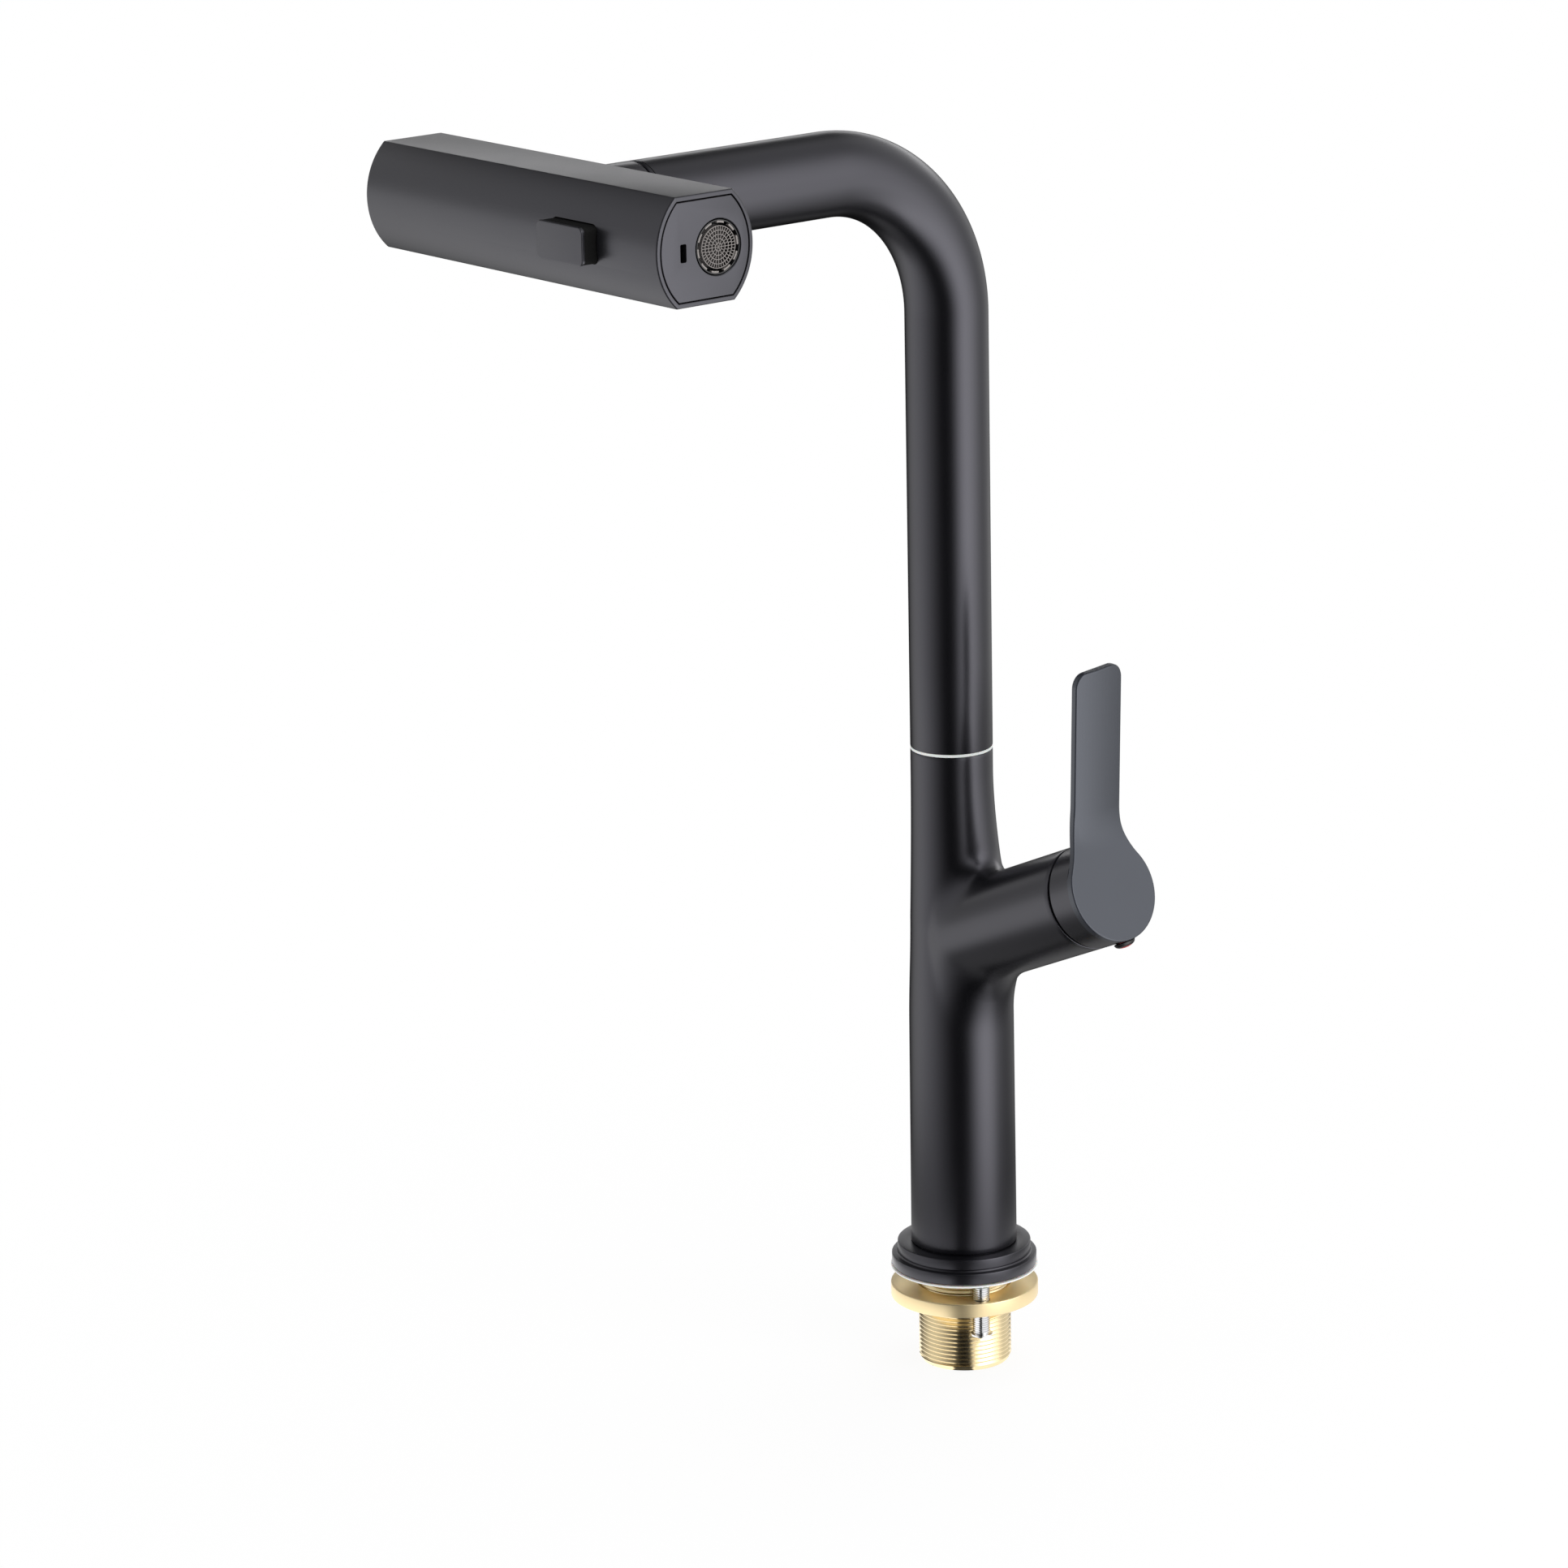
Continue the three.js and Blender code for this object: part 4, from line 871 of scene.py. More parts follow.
class FAUCET_OT_body(bpy.types.Operator):
    """Builds the cast body: column, neck and side barrel in one blended skin"""

    bl_idname = "faucet.body"
    bl_label = "Cast body"

    COLUMNS = 16
    LEVELS = (22, 38, 54, 70, 84, 98, 111, 125, 138, 152, 161, 169, 177)
    HOLE_BOTTOM, HOLE_TOP, HOLE_HALF = 98, 152, 3
    HOLE_SPREAD = math.radians(72)
    BARREL_RINGS = (34, 44, 56)
    BORE, STEP, CEILING = 16.3, 19.5, 112
    EDGE = 0.35

    def execute(self, context):
        sizes = in_millimetres(context.scene.faucet_body)
        self.sole = node_box("faucet_body")[0].z
        self.foot = node_box("base_flange")[1].z + sizes.foot_groove
        self.rim = sizes.barrel_length
        self.shape = TowerShape(sizes, self.foot)
        skin = self.cage(sizes.barrel)
        modifier = skin.modifiers.new("smooth", "SUBSURF")
        modifier.levels = modifier.render_levels = 3
        settle(skin)
        self.project(skin)
        self.close(skin, sizes)
        smooth(skin, 35)
        dress(skin, "body", "black_coat", "faucet_body")
        return {"FINISHED"}

    def cage(self, barrel):
        """A coarse skin of quads with a hole in the column that the barrel grows from."""
        columns, half = self.COLUMNS, self.HOLE_HALF
        levels = (self.foot + self.EDGE, *self.LEVELS, NECK_TOP - self.EDGE)
        bottom, top = levels.index(self.HOLE_BOTTOM), levels.index(self.HOLE_TOP)
        points, index = [], {}

        def on_tower(height, bearing):
            middle, radius = self.shape.section(np.array([float(height)]))
            across = radius[0] * math.sin(bearing)
            return middle[0] + radius[0] * math.cos(bearing), across, height

        for i, height in enumerate(levels):
            for j, bearing in enumerate(turns(columns)):
                if bottom < i < top and min(j, columns - j) < half:
                    continue
                index[i, j] = len(points)
                points.append(on_tower(height, bearing))
        faces = []
        for i in range(len(levels) - 1):
            for j in range(columns):
                if bottom <= i < top and (j < half or j >= columns - half):
                    continue
                k = (j + 1) % columns
                faces.append((index[i, j], index[i, k], index[i + 1, k], index[i + 1, j]))
        loop = [(bottom, j) for j in range(-half, half)] + [(i, half) for i in range(bottom, top)]
        loop += [(top, j) for j in range(half, -half, -1)]
        loop += [(i, -half) for i in range(top, bottom, -1)]
        ring = [index[i, j % columns] for i, j in loop]
        middle = (self.HOLE_TOP + self.HOLE_BOTTOM) / 2
        rise = (self.HOLE_TOP - self.HOLE_BOTTOM) / 2
        angles = [math.atan2((levels[i] - middle) / rise, j / half) for i, j in loop]
        for corner, angle in zip(ring, angles):
            bearing = self.HOLE_SPREAD * math.cos(angle)
            points[corner] = on_tower(middle + rise * math.sin(angle), bearing)
        count = len(ring)
        for along in (*self.BARREL_RINGS, self.rim - self.EDGE):
            new = range(len(points), len(points) + count)
            for angle in angles:
                side = Vector((0, 1, 0)) * math.cos(angle) - BARREL_DOWN * math.sin(angle)
                points.append(tuple(BARREL_ROOT + BARREL * along + side * barrel))
            faces += [
                (ring[n], ring[(n + 1) % count], new[(n + 1) % count], new[n]) for n in range(count)
            ]
            ring = new
        mesh = bpy.data.meshes.new("cast_body")
        mesh.from_pydata(points, [], faces)
        return linked("cast_body", mesh)

    def project(self, skin):
        """Moves the smoothed cage onto the true surface, with level and square rims."""
        points = np.array([v.co for v in skin.data.vertices], float)
        points = self.shape.settled(points)
        along = (points - np.array(BARREL_ROOT)) @ np.array(BARREL)
        for v in self.border(skin):
            if along[v] > self.rim - 1.2:
                points[v] += np.array(BARREL) * (self.rim - self.EDGE - along[v])
                continue
            upper = points[v, 2] > self.HOLE_TOP
            points[v, 2] = NECK_TOP - self.EDGE if upper else self.foot + self.EDGE
            middle, radius = self.shape.section(points[v : v + 1, 2])
            out = points[v, :2] - (middle[0], 0)
            points[v, :2] = (middle[0], 0) + out / np.linalg.norm(out) * radius[0]
        skin.data.vertices.foreach_set("co", points.astype(np.float32).ravel())

    def border(self, skin):
        """The vertices on the skin's open rims."""
        work = bmesh.new()
        work.from_mesh(skin.data)
        found = [v.index for v in work.verts if v.is_boundary]
        work.free()
        return found

    def profiles(self, sizes):
        """The (radius, height) steps inwards from each open rim."""
        e, sole, foot, top, rim = self.EDGE, self.sole, self.foot, NECK_TOP, self.rim
        column, neck, barrel = sizes.column_foot, sizes.neck, sizes.barrel
        column_bore, neck_bore, barrel_bore = sizes.column_top - 2.4, neck - 2.1, barrel - 3.2
        return {
            "foot": [
                (column - 0.3 * e, foot + 0.3 * e), (column - e, foot), (column - 0.9, foot),
                (column - 0.9, sole), (self.BORE, sole), (self.BORE, self.STEP),
                (column_bore, self.STEP), (column_bore, self.CEILING),
            ],
            "neck": [
                (neck - 0.3 * e, top - 0.3 * e), (neck - e, top), (neck_bore + 0.3, top),
                (neck_bore, top - 0.3), (neck_bore, 130),
            ],
            "rim": [
                (barrel - 0.3 * e, rim - 0.3 * e), (barrel - e, rim), (barrel - 2.2, rim),
                (barrel - 2.2, rim - 3), (barrel_bore, rim - 3), (barrel_bore, 34),
            ],
        }

    def close(self, skin, sizes):
        """Rounds the rims, and adds the bores and the barrel's inside."""
        work = bmesh.new()
        work.from_mesh(skin.data)
        loops = {"foot": [], "neck": [], "rim": []}
        for v in work.verts:
            if v.is_boundary:
                end = "neck" if v.co.z > self.HOLE_TOP else "foot"
                loops["rim" if v.co.x > 2 * sizes.neck else end].append(v)
        frames = {"foot": COLUMN_FRAME, "neck": SWIVEL_FRAME, "rim": BARREL_FRAME}
        last = {}
        for kind, profile in self.profiles(sizes).items():
            place = frames[kind]
            spots = {v: place.inverted() @ v.co for v in loops[kind]}
            bearings = {v: math.atan2(spot.y, spot.x) for v, spot in spots.items()}
            ring = sorted(loops[kind], key=bearings.get)
            angles = [bearings[v] for v in ring]
            for radius, height in profile:
                level = [(radius * math.cos(t), radius * math.sin(t), height) for t in angles]
                new = [work.verts.new(place @ Vector(corner)) for corner in level]
                self.join(work, ring, new)
                ring = new
            last[kind] = ring
        work.faces.new(last["rim"])
        self.join(work, last["foot"], last["neck"])
        bmesh.ops.recalc_face_normals(work, faces=work.faces)
        work.to_mesh(skin.data)
        work.free()
        skin.data.transform(Matrix.Scale(MM, 4))

    def join(self, work, ring, new):
        """Quads between two rings of vertices."""
        count = len(ring)
        for n in range(count):
            work.faces.new((ring[n], ring[(n + 1) % count], new[(n + 1) % count], new[n]))


# ---------------------------------------------------------------- spout


def spout_rings(radius, stations, sides=96):
    """Rings of points across the spout's line, at (y, z, slope) stations."""
    rings = []
    for y, z, slope in stations:
        up = Vector((0, math.cos(slope), math.sin(slope)))
        rings.append([
            Vector((0, y, z)) + (Vector((1, 0, 0)) * math.cos(t) + up * math.sin(t)) * radius
            for t in turns(sides)
        ])
    return rings


def spout_line(bottom, end, bend, steps):
    """Stations from a height at the swivel, round the bend and out to a place along Y."""
    stations = [(0, bottom, 0.0)]
    for i in range(steps + 1):
        turn = math.pi / 2 * i / steps
        stations.append((bend * (math.cos(turn) - 1), SPOUT_Z + bend * (math.sin(turn) - 1), turn))
    stations.append((end, SPOUT_Z, math.pi / 2))
    return stations


class FAUCET_OT_spout(bpy.types.Operator):
    """Builds the arched spout, its swivel washer and the bush in its mouth"""

    bl_idname = "faucet.spout"
    bl_label = "Spout"

    EDGE = 0.35
    STRAIGHT = 30

    def execute(self, context):
        sizes = in_millimetres(context.scene.faucet_body)
        inner = sizes.neck - sizes.spout_wall
        self.tube(sizes, inner)
        self.washer(sizes.neck - 0.05)
        self.bush(inner - 0.3)
        return {"FINISHED"}

    def tube(self, sizes, inner):
        """The spout's tube, with rounded ends and a fine groove round its mouth."""
        low, _ = node_box("spout_tube")
        mouth, bottom, outer, edge = low.y, low.z, sizes.neck, self.EDGE
        start, end = bottom + self.STRAIGHT, mouth + self.STRAIGHT
        rings = []
        for inset, rise in ((1, 0), (0.3, 0.3), (0, 1)):
            rings += spout_rings(outer - edge * inset, [(0, bottom + edge * rise, 0.0)])
        rings += spout_rings(outer, spout_line(start, mouth + 1.9, sizes.bend, 64))
        groove = ((0, 1.7), (0.3, 1.65), (0.3, 1.4), (0, 1.35))
        for depth, along in (*groove, (0, edge), (edge * 0.3, edge * 0.3), (edge, 0)):
            rings += spout_rings(outer - depth, [(mouth + along, SPOUT_Z, math.pi / 2)])
        rings += spout_rings(inner, [(mouth, SPOUT_Z, math.pi / 2)])
        rings += spout_rings(inner, spout_line(start, end, sizes.bend, 32)[::-1])
        rings += spout_rings(inner, [(0, bottom, 0.0)])
        dress(lofted("spout", rings, SWIVEL_FRAME), "spout", "black_coat", "spout_tube")

    def washer(self, outer):
        """The white ring between the neck and the spout."""
        low, high = node_box("swivel_washer")
        inner = 11.8
        outline = rounded([
            (inner, low.z), (outer, low.z, 0.2), (outer, high.z, 0.2), (inner, high.z)
        ])
        washer = turned("washer", outline, SWIVEL_FRAME, 128)
        dress(washer, "body", "white_plastic", "swivel_washer")

    def bush(self, outer):
        """The plastic bush in the mouth, chamfered to lead the neck in."""
        low, high = node_box("dock_bush")
        inner = outer - 1.6
        outline = rounded([
            (inner, low.y, 0.5), (outer - 0.9, low.y, 0.2), (outer, low.y + 1.2, 0.2),
            (outer, high.y, 0.3), (inner, high.y, 0.3),
        ])
        place = Matrix.Translation((SPOUT_X, 0, SPOUT_Z)) @ ALONG_Y
        dress(turned("mouth_bush", outline, place), "spout", "black_plastic", "dock_bush")


# ---------------------------------------------------------------- lever


class FAUCET_OT_lever(bpy.types.Operator):
    """Builds the lever with its hub, and the index plug under it"""

    bl_idname = "faucet.lever"
    bl_label = "Lever"

    SEAM, HEIGHT, WALL = 0.5, 12.75, 2.2
    BOSS, BOSS_DEPTH, SOCKET = 6.6, 14.6, (6.6, 6.6, 12)

    def execute(self, context):
        sizes = in_millimetres(context.scene.faucet_lever)
        body = in_millimetres(context.scene.faucet_body)
        hub, rim = body.barrel, body.barrel_length + self.SEAM
        face = rim + self.HEIGHT
        # The face and blade take the lighter copy of the coat, which is painted light; the hub's
        # wall keeps the plain black coat.
        dress(self.plate(sizes, hub, face), "handle", "lever_coat", "handle")
        cup = self.cup(sizes, hub, rim, face)
        cut(cup, mesh_block("socket", self.SOCKET, (0, 0, face - 11), BARREL_FRAME))
        drill(cup, 1.9, 12, hub + 1, PLUG_FRAME @ ALONG_X)
        dress(cup, "handle", "black_coat")
        self.plug(hub + 0.05)
        return {"FINISHED"}

    def flare(self, sizes, hub, side):
        """The centre and radius of the curve from hub to blade, and its bearing on the hub."""
        radius = sizes.flare if side > 0 else sizes.flare * 1.7
        across = sizes.width / 2 + side * sizes.aside + radius
        along = math.sqrt((hub + radius) ** 2 - across**2)
        return along, side * across, radius, math.atan2(across, along)

    def outline(self, sizes, hub, inset, on_hub):
        """The lever's outline on its flat face as (towards the tip, across), moved inwards."""
        half, points = sizes.width / 2, []

        def arc(u, v, radius, first, last, count):
            angles = [first + (last - first) * i / count for i in range(count + 1)]
            return [(u + radius * math.cos(t), v + radius * math.sin(t)) for t in angles]

        right_u, right_v, right, right_meet = self.flare(sizes, hub, 1)
        left_u, left_v, left, left_meet = self.flare(sizes, hub, -1)
        first, last = right_meet, TURN - left_meet
        for i in range(97):
            turn = first + (last - first) * i / 96
            near = max(0.0, 1 - min(turn - first, last - turn) / 0.14)
            radius = hub - inset * (on_hub + (1 - on_hub) * near * near * (3 - 2 * near))
            points.append((radius * math.cos(turn), radius * math.sin(turn)))
        points += arc(left_u, left_v, left + inset, math.pi - left_meet, math.pi / 2, 20)[1:]
        slant, across = math.atan(sizes.slant / sizes.width), half - sizes.corner
        tip, corner = sizes.reach - sizes.corner, sizes.corner - inset
        low = tip - 2 * across * math.tan(slant)
        points += arc(low, sizes.aside - across, corner, -math.pi / 2, -slant, 10)
        points += arc(tip, sizes.aside + across, corner, -slant, math.pi / 2, 12)
        points += arc(right_u, right_v, right + inset, -math.pi / 2, right_meet - math.pi, 20)[:-1]
        return points

    def bent(self, sizes, face, u, depth):
        """The place of a point of the plate, by u along the lever and depth behind its face."""
        start = sizes.bend_at - sizes.bend * math.tan(sizes.lean / 2)
        end = start + sizes.bend * math.sin(sizes.lean)
        slope = sizes.lean if u > end else math.asin(max(u - start, 0) / sizes.bend)
        height = face + sizes.bend * (1 - math.cos(slope)) + max(u - end, 0) * math.tan(slope)
        return u + depth * math.sin(slope), height - depth * math.cos(slope)

    def plate(self, sizes, hub, face):
        """The hub's face and the blade as one bent plate with rounded edges and a slight crown."""
        e = sizes.edge
        layers = [(e * (1 - sine), e * (1 - cosine)) for sine, cosine in quarter(4)]
        rings = [
            [(u, v, depth) for u, v in self.outline(sizes, hub, inset, 1)]
            for inset, depth in layers
        ]
        for inset, depth in reversed(layers):
            outline = self.outline(sizes, hub, inset, 0)
            rings.append([(u, v, sizes.thickness - depth) for u, v in outline])
        count = len(rings[0])
        points = [point for ring in rings for point in ring]
        faces = grid_faces(len(rings), count)
        faces += [tuple(range(count)), tuple(range(len(points) - count, len(points)))]
        work = bmesh.new()
        verts = [work.verts.new(point) for point in points]
        for corners in faces:
            work.faces.new([verts[c] for c in corners])
        # Narrow rows across the bend, wider ones along the blade, and lines along the lever.
        cuts = [((sizes.bend_at - 8 + 0.5 * i, 0, 0), (1, 0, 0)) for i in range(32)]
        cuts += [((sizes.bend_at + 8 + 2.5 * i, 0, 0), (1, 0, 0)) for i in range(17)]
        cuts += [((0, 1.4 * i, 0), (0, 1, 0)) for i in range(-6, 7)]
        for place, way in cuts:
            everything = work.verts[:] + work.edges[:] + work.faces[:]
            bmesh.ops.bisect_plane(work, geom=everything, plane_co=place, plane_no=way, dist=1e-4)
        for v in work.verts:
            fade = min(max((v.co.x - sizes.bend_at + 9) / 14, 0.0), 1.0)
            across = min(abs(v.co.y - sizes.aside) * 2 / sizes.width, 1)
            rise = sizes.crown * (1 - across * across) * fade * fade * (3 - 2 * fade)
            v.co.z -= rise * (1 - v.co.z / sizes.thickness)
            along, height = self.bent(sizes, face, v.co.x, v.co.z)
            v.co = (-along, v.co.y, height)
        bmesh.ops.recalc_face_normals(work, faces=work.faces)
        mesh = bpy.data.meshes.new("lever")
        work.to_mesh(mesh)
        work.free()
        mesh.transform(Matrix.Scale(MM, 4) @ BARREL_FRAME)
        return linked("lever", mesh)

    def cup(self, sizes, hub, rim, face):
        """The hub's wall, and the boss that takes the stem."""
        wall, back, end = hub - self.WALL, face - sizes.thickness, face - self.BOSS_DEPTH
        pivot = (PIVOT - BARREL_ROOT).length
        sphere = math.hypot(rim - pivot, hub)
        inner_rim = pivot + math.sqrt(sphere * sphere - wall * wall)
        outline = [
            (wall, inner_rim), (hub - 0.8, rim + 0.3), (hub - 0.25, rim + 0.45), (hub, rim + 0.85),
            (hub - 0.004, back + 0.04), (hub - 0.5, back + 0.2), (0, back + 1.2), (0, end),
            (self.BOSS, end), (self.BOSS, back + 0.4), (wall, back + 0.4),
        ]
        return turned("cup", outline, BARREL_FRAME, 128)

    def plug(self, seat):
        """The domed index plug, standing a little proud of the hub's wall."""
        pin = [(0, seat - 1.6), (1.7, seat - 1.6), (1.7, seat), (3.5, seat), (3.75, seat + 0.25)]
        dome = [(3.6 * cosine, seat + 0.4 + 1.6 * sine) for sine, cosine in quarter(6)]
        plug = turned("index_button", pin + dome, PLUG_FRAME @ ALONG_X, 48)
        dress(plug, "handle", "index_red", "index_plug")


# ---------------------------------------------------------------- repeats


class Pattern(Weave):
    """A Geometry Nodes tree under construction, with named inputs."""

    KINDS = {float: "NodeSocketFloat", int: "NodeSocketInt"}

    def __init__(self, name, **inputs):
        super().__init__(bpy.data.node_groups.new(name, "GeometryNodeTree"))
        self.inputs = inputs
        for key, value in inputs.items():
            kind = self.KINDS.get(type(value), "NodeSocketObject")
            self.tree.interface.new_socket(key, in_out="INPUT", socket_type=kind)
        self.tree.interface.new_socket(
            "Geometry", in_out="OUTPUT", socket_type="NodeSocketGeometry"
        )

    def given(self, key):
        """One of the tree's inputs."""
        return self.node("NodeGroupInput", output=key)

    def vector(self, x=0.0, y=0.0, z=0.0):
        """A vector of numbers or signals."""
        return self.node("ShaderNodeCombineXYZ", x=x, y=y, z=z)

    def joined(self, parts):
        """Several geometries as one."""
        made = self.node("GeometryNodeJoinGeometry")
        for part in parts:
            feed(self.tree, made.socket.node.inputs[0], part)
        return made

    def spread(self, points, shape, turn=0.0):
        """One copy of a shape on each point, turned by an angle about Z."""
        rotation = self.node("FunctionNodeEulerToRotation", euler=self.vector(z=turn))
        return self.node(
            "GeometryNodeInstanceOnPoints", points=points, instance=shape, rotation=rotation
        )

    def bearing(self):
        """The angle about Z of a point's position."""
        x, y, _ = self.parts(self.node("GeometryNodeInputPosition"))
        return y.maths("ARCTAN2", x)

    def grown(self, name, geometry, finish, place):
        """Runs the tree, made in metres, and gives its result as a plain mesh piece."""
        plain = self.node("GeometryNodeRealizeInstances", geometry=geometry)
        coated = self.node("GeometryNodeSetMaterial", geometry=plain, material=FINISHES[finish])
        self.node("NodeGroupOutput", geometry=coated)
        piece = linked(name, bpy.data.meshes.new(name))
        modifier = piece.modifiers.new("repeat", "NODES")
        modifier.node_group = self.tree
        for socket in self.tree.interface.items_tree:
            if socket.in_out == "INPUT":
                modifier[socket.identifier] = self.inputs[socket.name]
        settle(piece)
        piece.data.transform(Matrix.Scale(MM, 4) @ place @ Matrix.Scale(1 / MM, 4))
        smooth(piece)
        return piece


def joined(name, *pieces):
    """One piece made of several, which are used up."""
    work = bmesh.new()
    for piece in pieces:
        work.from_mesh(piece.data)
        bpy.data.objects.remove(piece)
    mesh = bpy.data.meshes.new(name)
    work.to_mesh(mesh)
    work.free()
    made = linked(name, mesh)
    smooth(made)
    return made


# ---------------------------------------------------------------- spray head


BUTTON_WIDTH, BUTTON_HEIGHT = 23, 12


def button_place(sizes):
    """A frame at the button's middle, with its Z pointing forward."""
    return HEAD_FRAME @ Matrix.Translation((sizes.button_at, 0, -sizes.drop)) @ FORWARD


def aerator_place(sizes):
    """A frame on the aerator's axis, with its Z pointing out of the bar's end."""
    return HEAD_FRAME @ Matrix.Translation((0, sizes.aerator_offset, -sizes.drop / 2)) @ ALONG_X


def bar_outline(sizes, inset, edge=0.55):
    """The bar's (y, z) outline, moved inwards, with its four long edges rounded."""
    low, high = node_box("head_shell")
    bow_steps, edge_steps = 40, 4
    centre = sizes.bow - (high.y - low.y) / 2
    half, radius = (high.z - low.z) / 2 - inset, sizes.bow - inset
    edge = max(edge - inset, 0.12)
    across = math.sqrt((radius - edge) ** 2 - (half - edge) ** 2)
    reach = math.atan2(half - edge, across)
    side = []
    for i in range(bow_steps + 1):
        turn = reach * (2 * i / bow_steps - 1)
        side.append((radius * math.cos(turn) - centre, radius * math.sin(turn)))
    for i in range(1, edge_steps + 1):
        turn = reach + (math.pi / 2 - reach) * i / edge_steps
        side.append((across - centre + edge * math.cos(turn), half - edge + edge * math.sin(turn)))
    for i in range(edge_steps):
        turn = -math.pi / 2 + (math.pi / 2 - reach) * i / edge_steps
        corner = (across - centre + edge * math.cos(turn), edge - half + edge * math.sin(turn))
        side.insert(i, corner)
    outline = side + [(-y, -z) for y, z in side]
    return [(y, z - sizes.drop * (0.5 - z / (high.z - low.z))) for y, z in outline]


def bar_rings(sizes, stations, edge=0.55):
    """Rings of points round the bar, at (inset, x) stations."""
    return [[(x, y, z) for y, z in bar_outline(sizes, inset, edge)] for inset, x in stations]


def rounded_box(name, width, height, corner, edge, front, back, place):
    """A block with rounded corners, its front edge rounded, made along Z from back to front."""
    rings = []

    def ring(grow, level):
        w, h, r = width / 2 + grow, height / 2 + grow, max(corner + grow, 0.2)
        corners = [(w, -h, r), (w, h, r), (-w, h, r), (-w, -h, r)]
        rings.append([(x, y, level) for x, y in rounded(corners, 8)])

    ring(0, back)
    for sine, cosine in quarter(5):
        ring(-edge * (1 - cosine), front - edge * (1 - sine))
    return lofted(name, rings, place, closed=False)


def arc_block(inner, outer, low, high, bearing, spread, steps=8):
    """The points and faces of a block between two radii, centred on a bearing."""
    points = []
    for i in range(steps + 1):
        turn = bearing + spread * (i / steps - 0.5)
        for radius, level in ((inner, low), (outer, low), (outer, high), (inner, high)):
            points.append((radius * math.cos(turn), radius * math.sin(turn), level))
    faces = grid_faces(steps + 1, 4)
    return points, faces + [(3, 2, 1, 0), tuple(4 * steps + k for k in range(4))]


class FAUCET_OT_head(bpy.types.Operator):
    """Builds the spray head's shell, its two end plates and the neck behind it"""

    bl_idname = "faucet.head"
    bl_label = "Spray head"

    NECK_BORE, SPIGOT_BORE, WATERWAY = 7, 7.9, 4

    def execute(self, context):
        sizes = in_millimetres(context.scene.faucet_head)
        low, high = node_box("head_shell")
        half = (high.x - low.x) / 2
        self.shell(sizes, half)
        self.plates(sizes, half)
        self.neck(sizes, in_millimetres(context.scene.faucet_body).neck)
        return {"FINISHED"}

    def shell(self, sizes, half):
        """The bar's shell, open for the button, the nozzle plate and the neck."""
        e, wall = sizes.edge, sizes.wall
        stations = [(wall, half - 0.15), (wall - 0.15, half)]
        stations += [(e * (1 - sine), half - e * (1 - cosine)) for sine, cosine in quarter(4)]
        stations += [(inset, -x) for inset, x in reversed(stations)]
        shell = lofted("bar_shell", bar_rings(sizes, stations), HEAD_FRAME)
        width, height = BUTTON_WIDTH + 0.6, BUTTON_HEIGHT + 0.6
        cut(shell, rounded_box("slot", width, height, 2.9, 0.1, 25, 5, button_place(sizes)))
        low, high = node_box("spray_plate")
        width, depth = high.x - low.x + 0.6, high.y - low.y + 0.6
        place = Matrix.Translation(((low.x + high.x) / 2, HEAD_Y, low.z))
        cut(shell, rounded_box("slot", width, depth, depth / 2 - 0.1, 0.1, 5, -5, place))
        drill(shell, 8.3, 5, 25, HEAD_FRAME @ ALONG_Y, 64)
        dress(shell, "spray_head", "head_coat", "head_shell")

    def plates(self, sizes, half):
        """The two end plates; the outlet's has the aerator's hole and the latch window."""
        inset, e = sizes.wall + sizes.seam, 0.3
        stations = [(inset, half - 3)]
        for sine, cosine in quarter(4):
            stations.append((inset + e * (1 - cosine), half - e * (1 - sine)))
        outlet = lofted("outlet_plate", bar_rings(sizes, stations), HEAD_FRAME, closed=False)
        r = sizes.aerator + 0.3
        hole = [
            (0, half - 4), (r, half - 4), (r, half - 0.25), (r + 0.3, half + 0.05),
            (r + 0.3, half + 1), (0, half + 1),
        ]
        cut(outlet, turned("hole", hole, aerator_place(sizes)))
        place = HEAD_FRAME @ Matrix.Translation((0, -sizes.latch_offset, -sizes.drop)) @ ALONG_X
        cut(outlet, rounded_box("window", 2.4, 5.7, 0.5, 0.05, half + 1, half - 4, place))
        dress(outlet, "spray_head", "head_coat", "outlet_end_plate")
        stations = [(grow, -x) for grow, x in stations]
        far = lofted("far_plate", bar_rings(sizes, stations), HEAD_FRAME, closed=False)
        dress(far, "spray_head", "head_coat", "closed_end_plate")

    def neck(self, sizes, radius):
        """The round neck behind the bar, and the spigot that goes into the spout's mouth."""
        low, high = node_box("docking_neck")
        front, tip = low.y - HEAD_Y, high.y - HEAD_Y
        seam = node_box("spout_tube")[0].y - 0.6 - HEAD_Y
        bore, inner, way = self.NECK_BORE, self.SPIGOT_BORE, self.WATERWAY
        place = HEAD_FRAME @ ALONG_Y
        outline = rounded([(bore, front), (radius, front), (radius, seam, 0.3), (bore, seam)])
        skirt = turned("neck", outline, place, 128)
        depth = sizes.bow * 2
        bar = bar_rings(sizes, [(-0.02, -depth), (-0.02, depth)])
        cut(skirt, lofted("bar", bar, HEAD_FRAME, closed=False))
        spigot, floor = radius - 3.8, radius - 5.2
        groove = node_middle("spigot_ring")[1] - HEAD_Y
        tail = turned("spigot", rounded([
            (way, front), (inner, front), (inner, seam - 1), (spigot, seam - 1),
            (spigot, groove - 1.0, 0.2), (floor, groove - 1.0), (floor, groove + 1.0),
            (spigot, groove + 1.0, 0.2), (spigot, tip, 0.6), (bore, tip, 0.3), (bore, tip - 12),
            (way, tip - 12),
        ]), place)
        dress(joined("docking_spigot", skirt, tail), "spray_head", "black_coat", "docking_neck")
        wire = 0.72
        outline = [
            (floor + wire + wire * math.cos(t), groove + wire * math.sin(t)) for t in turns(12)
        ]
        seal = turned("spigot_seal", outline, place)
        dress(seal, "spray_head", "black_rubber", "spigot_ring")


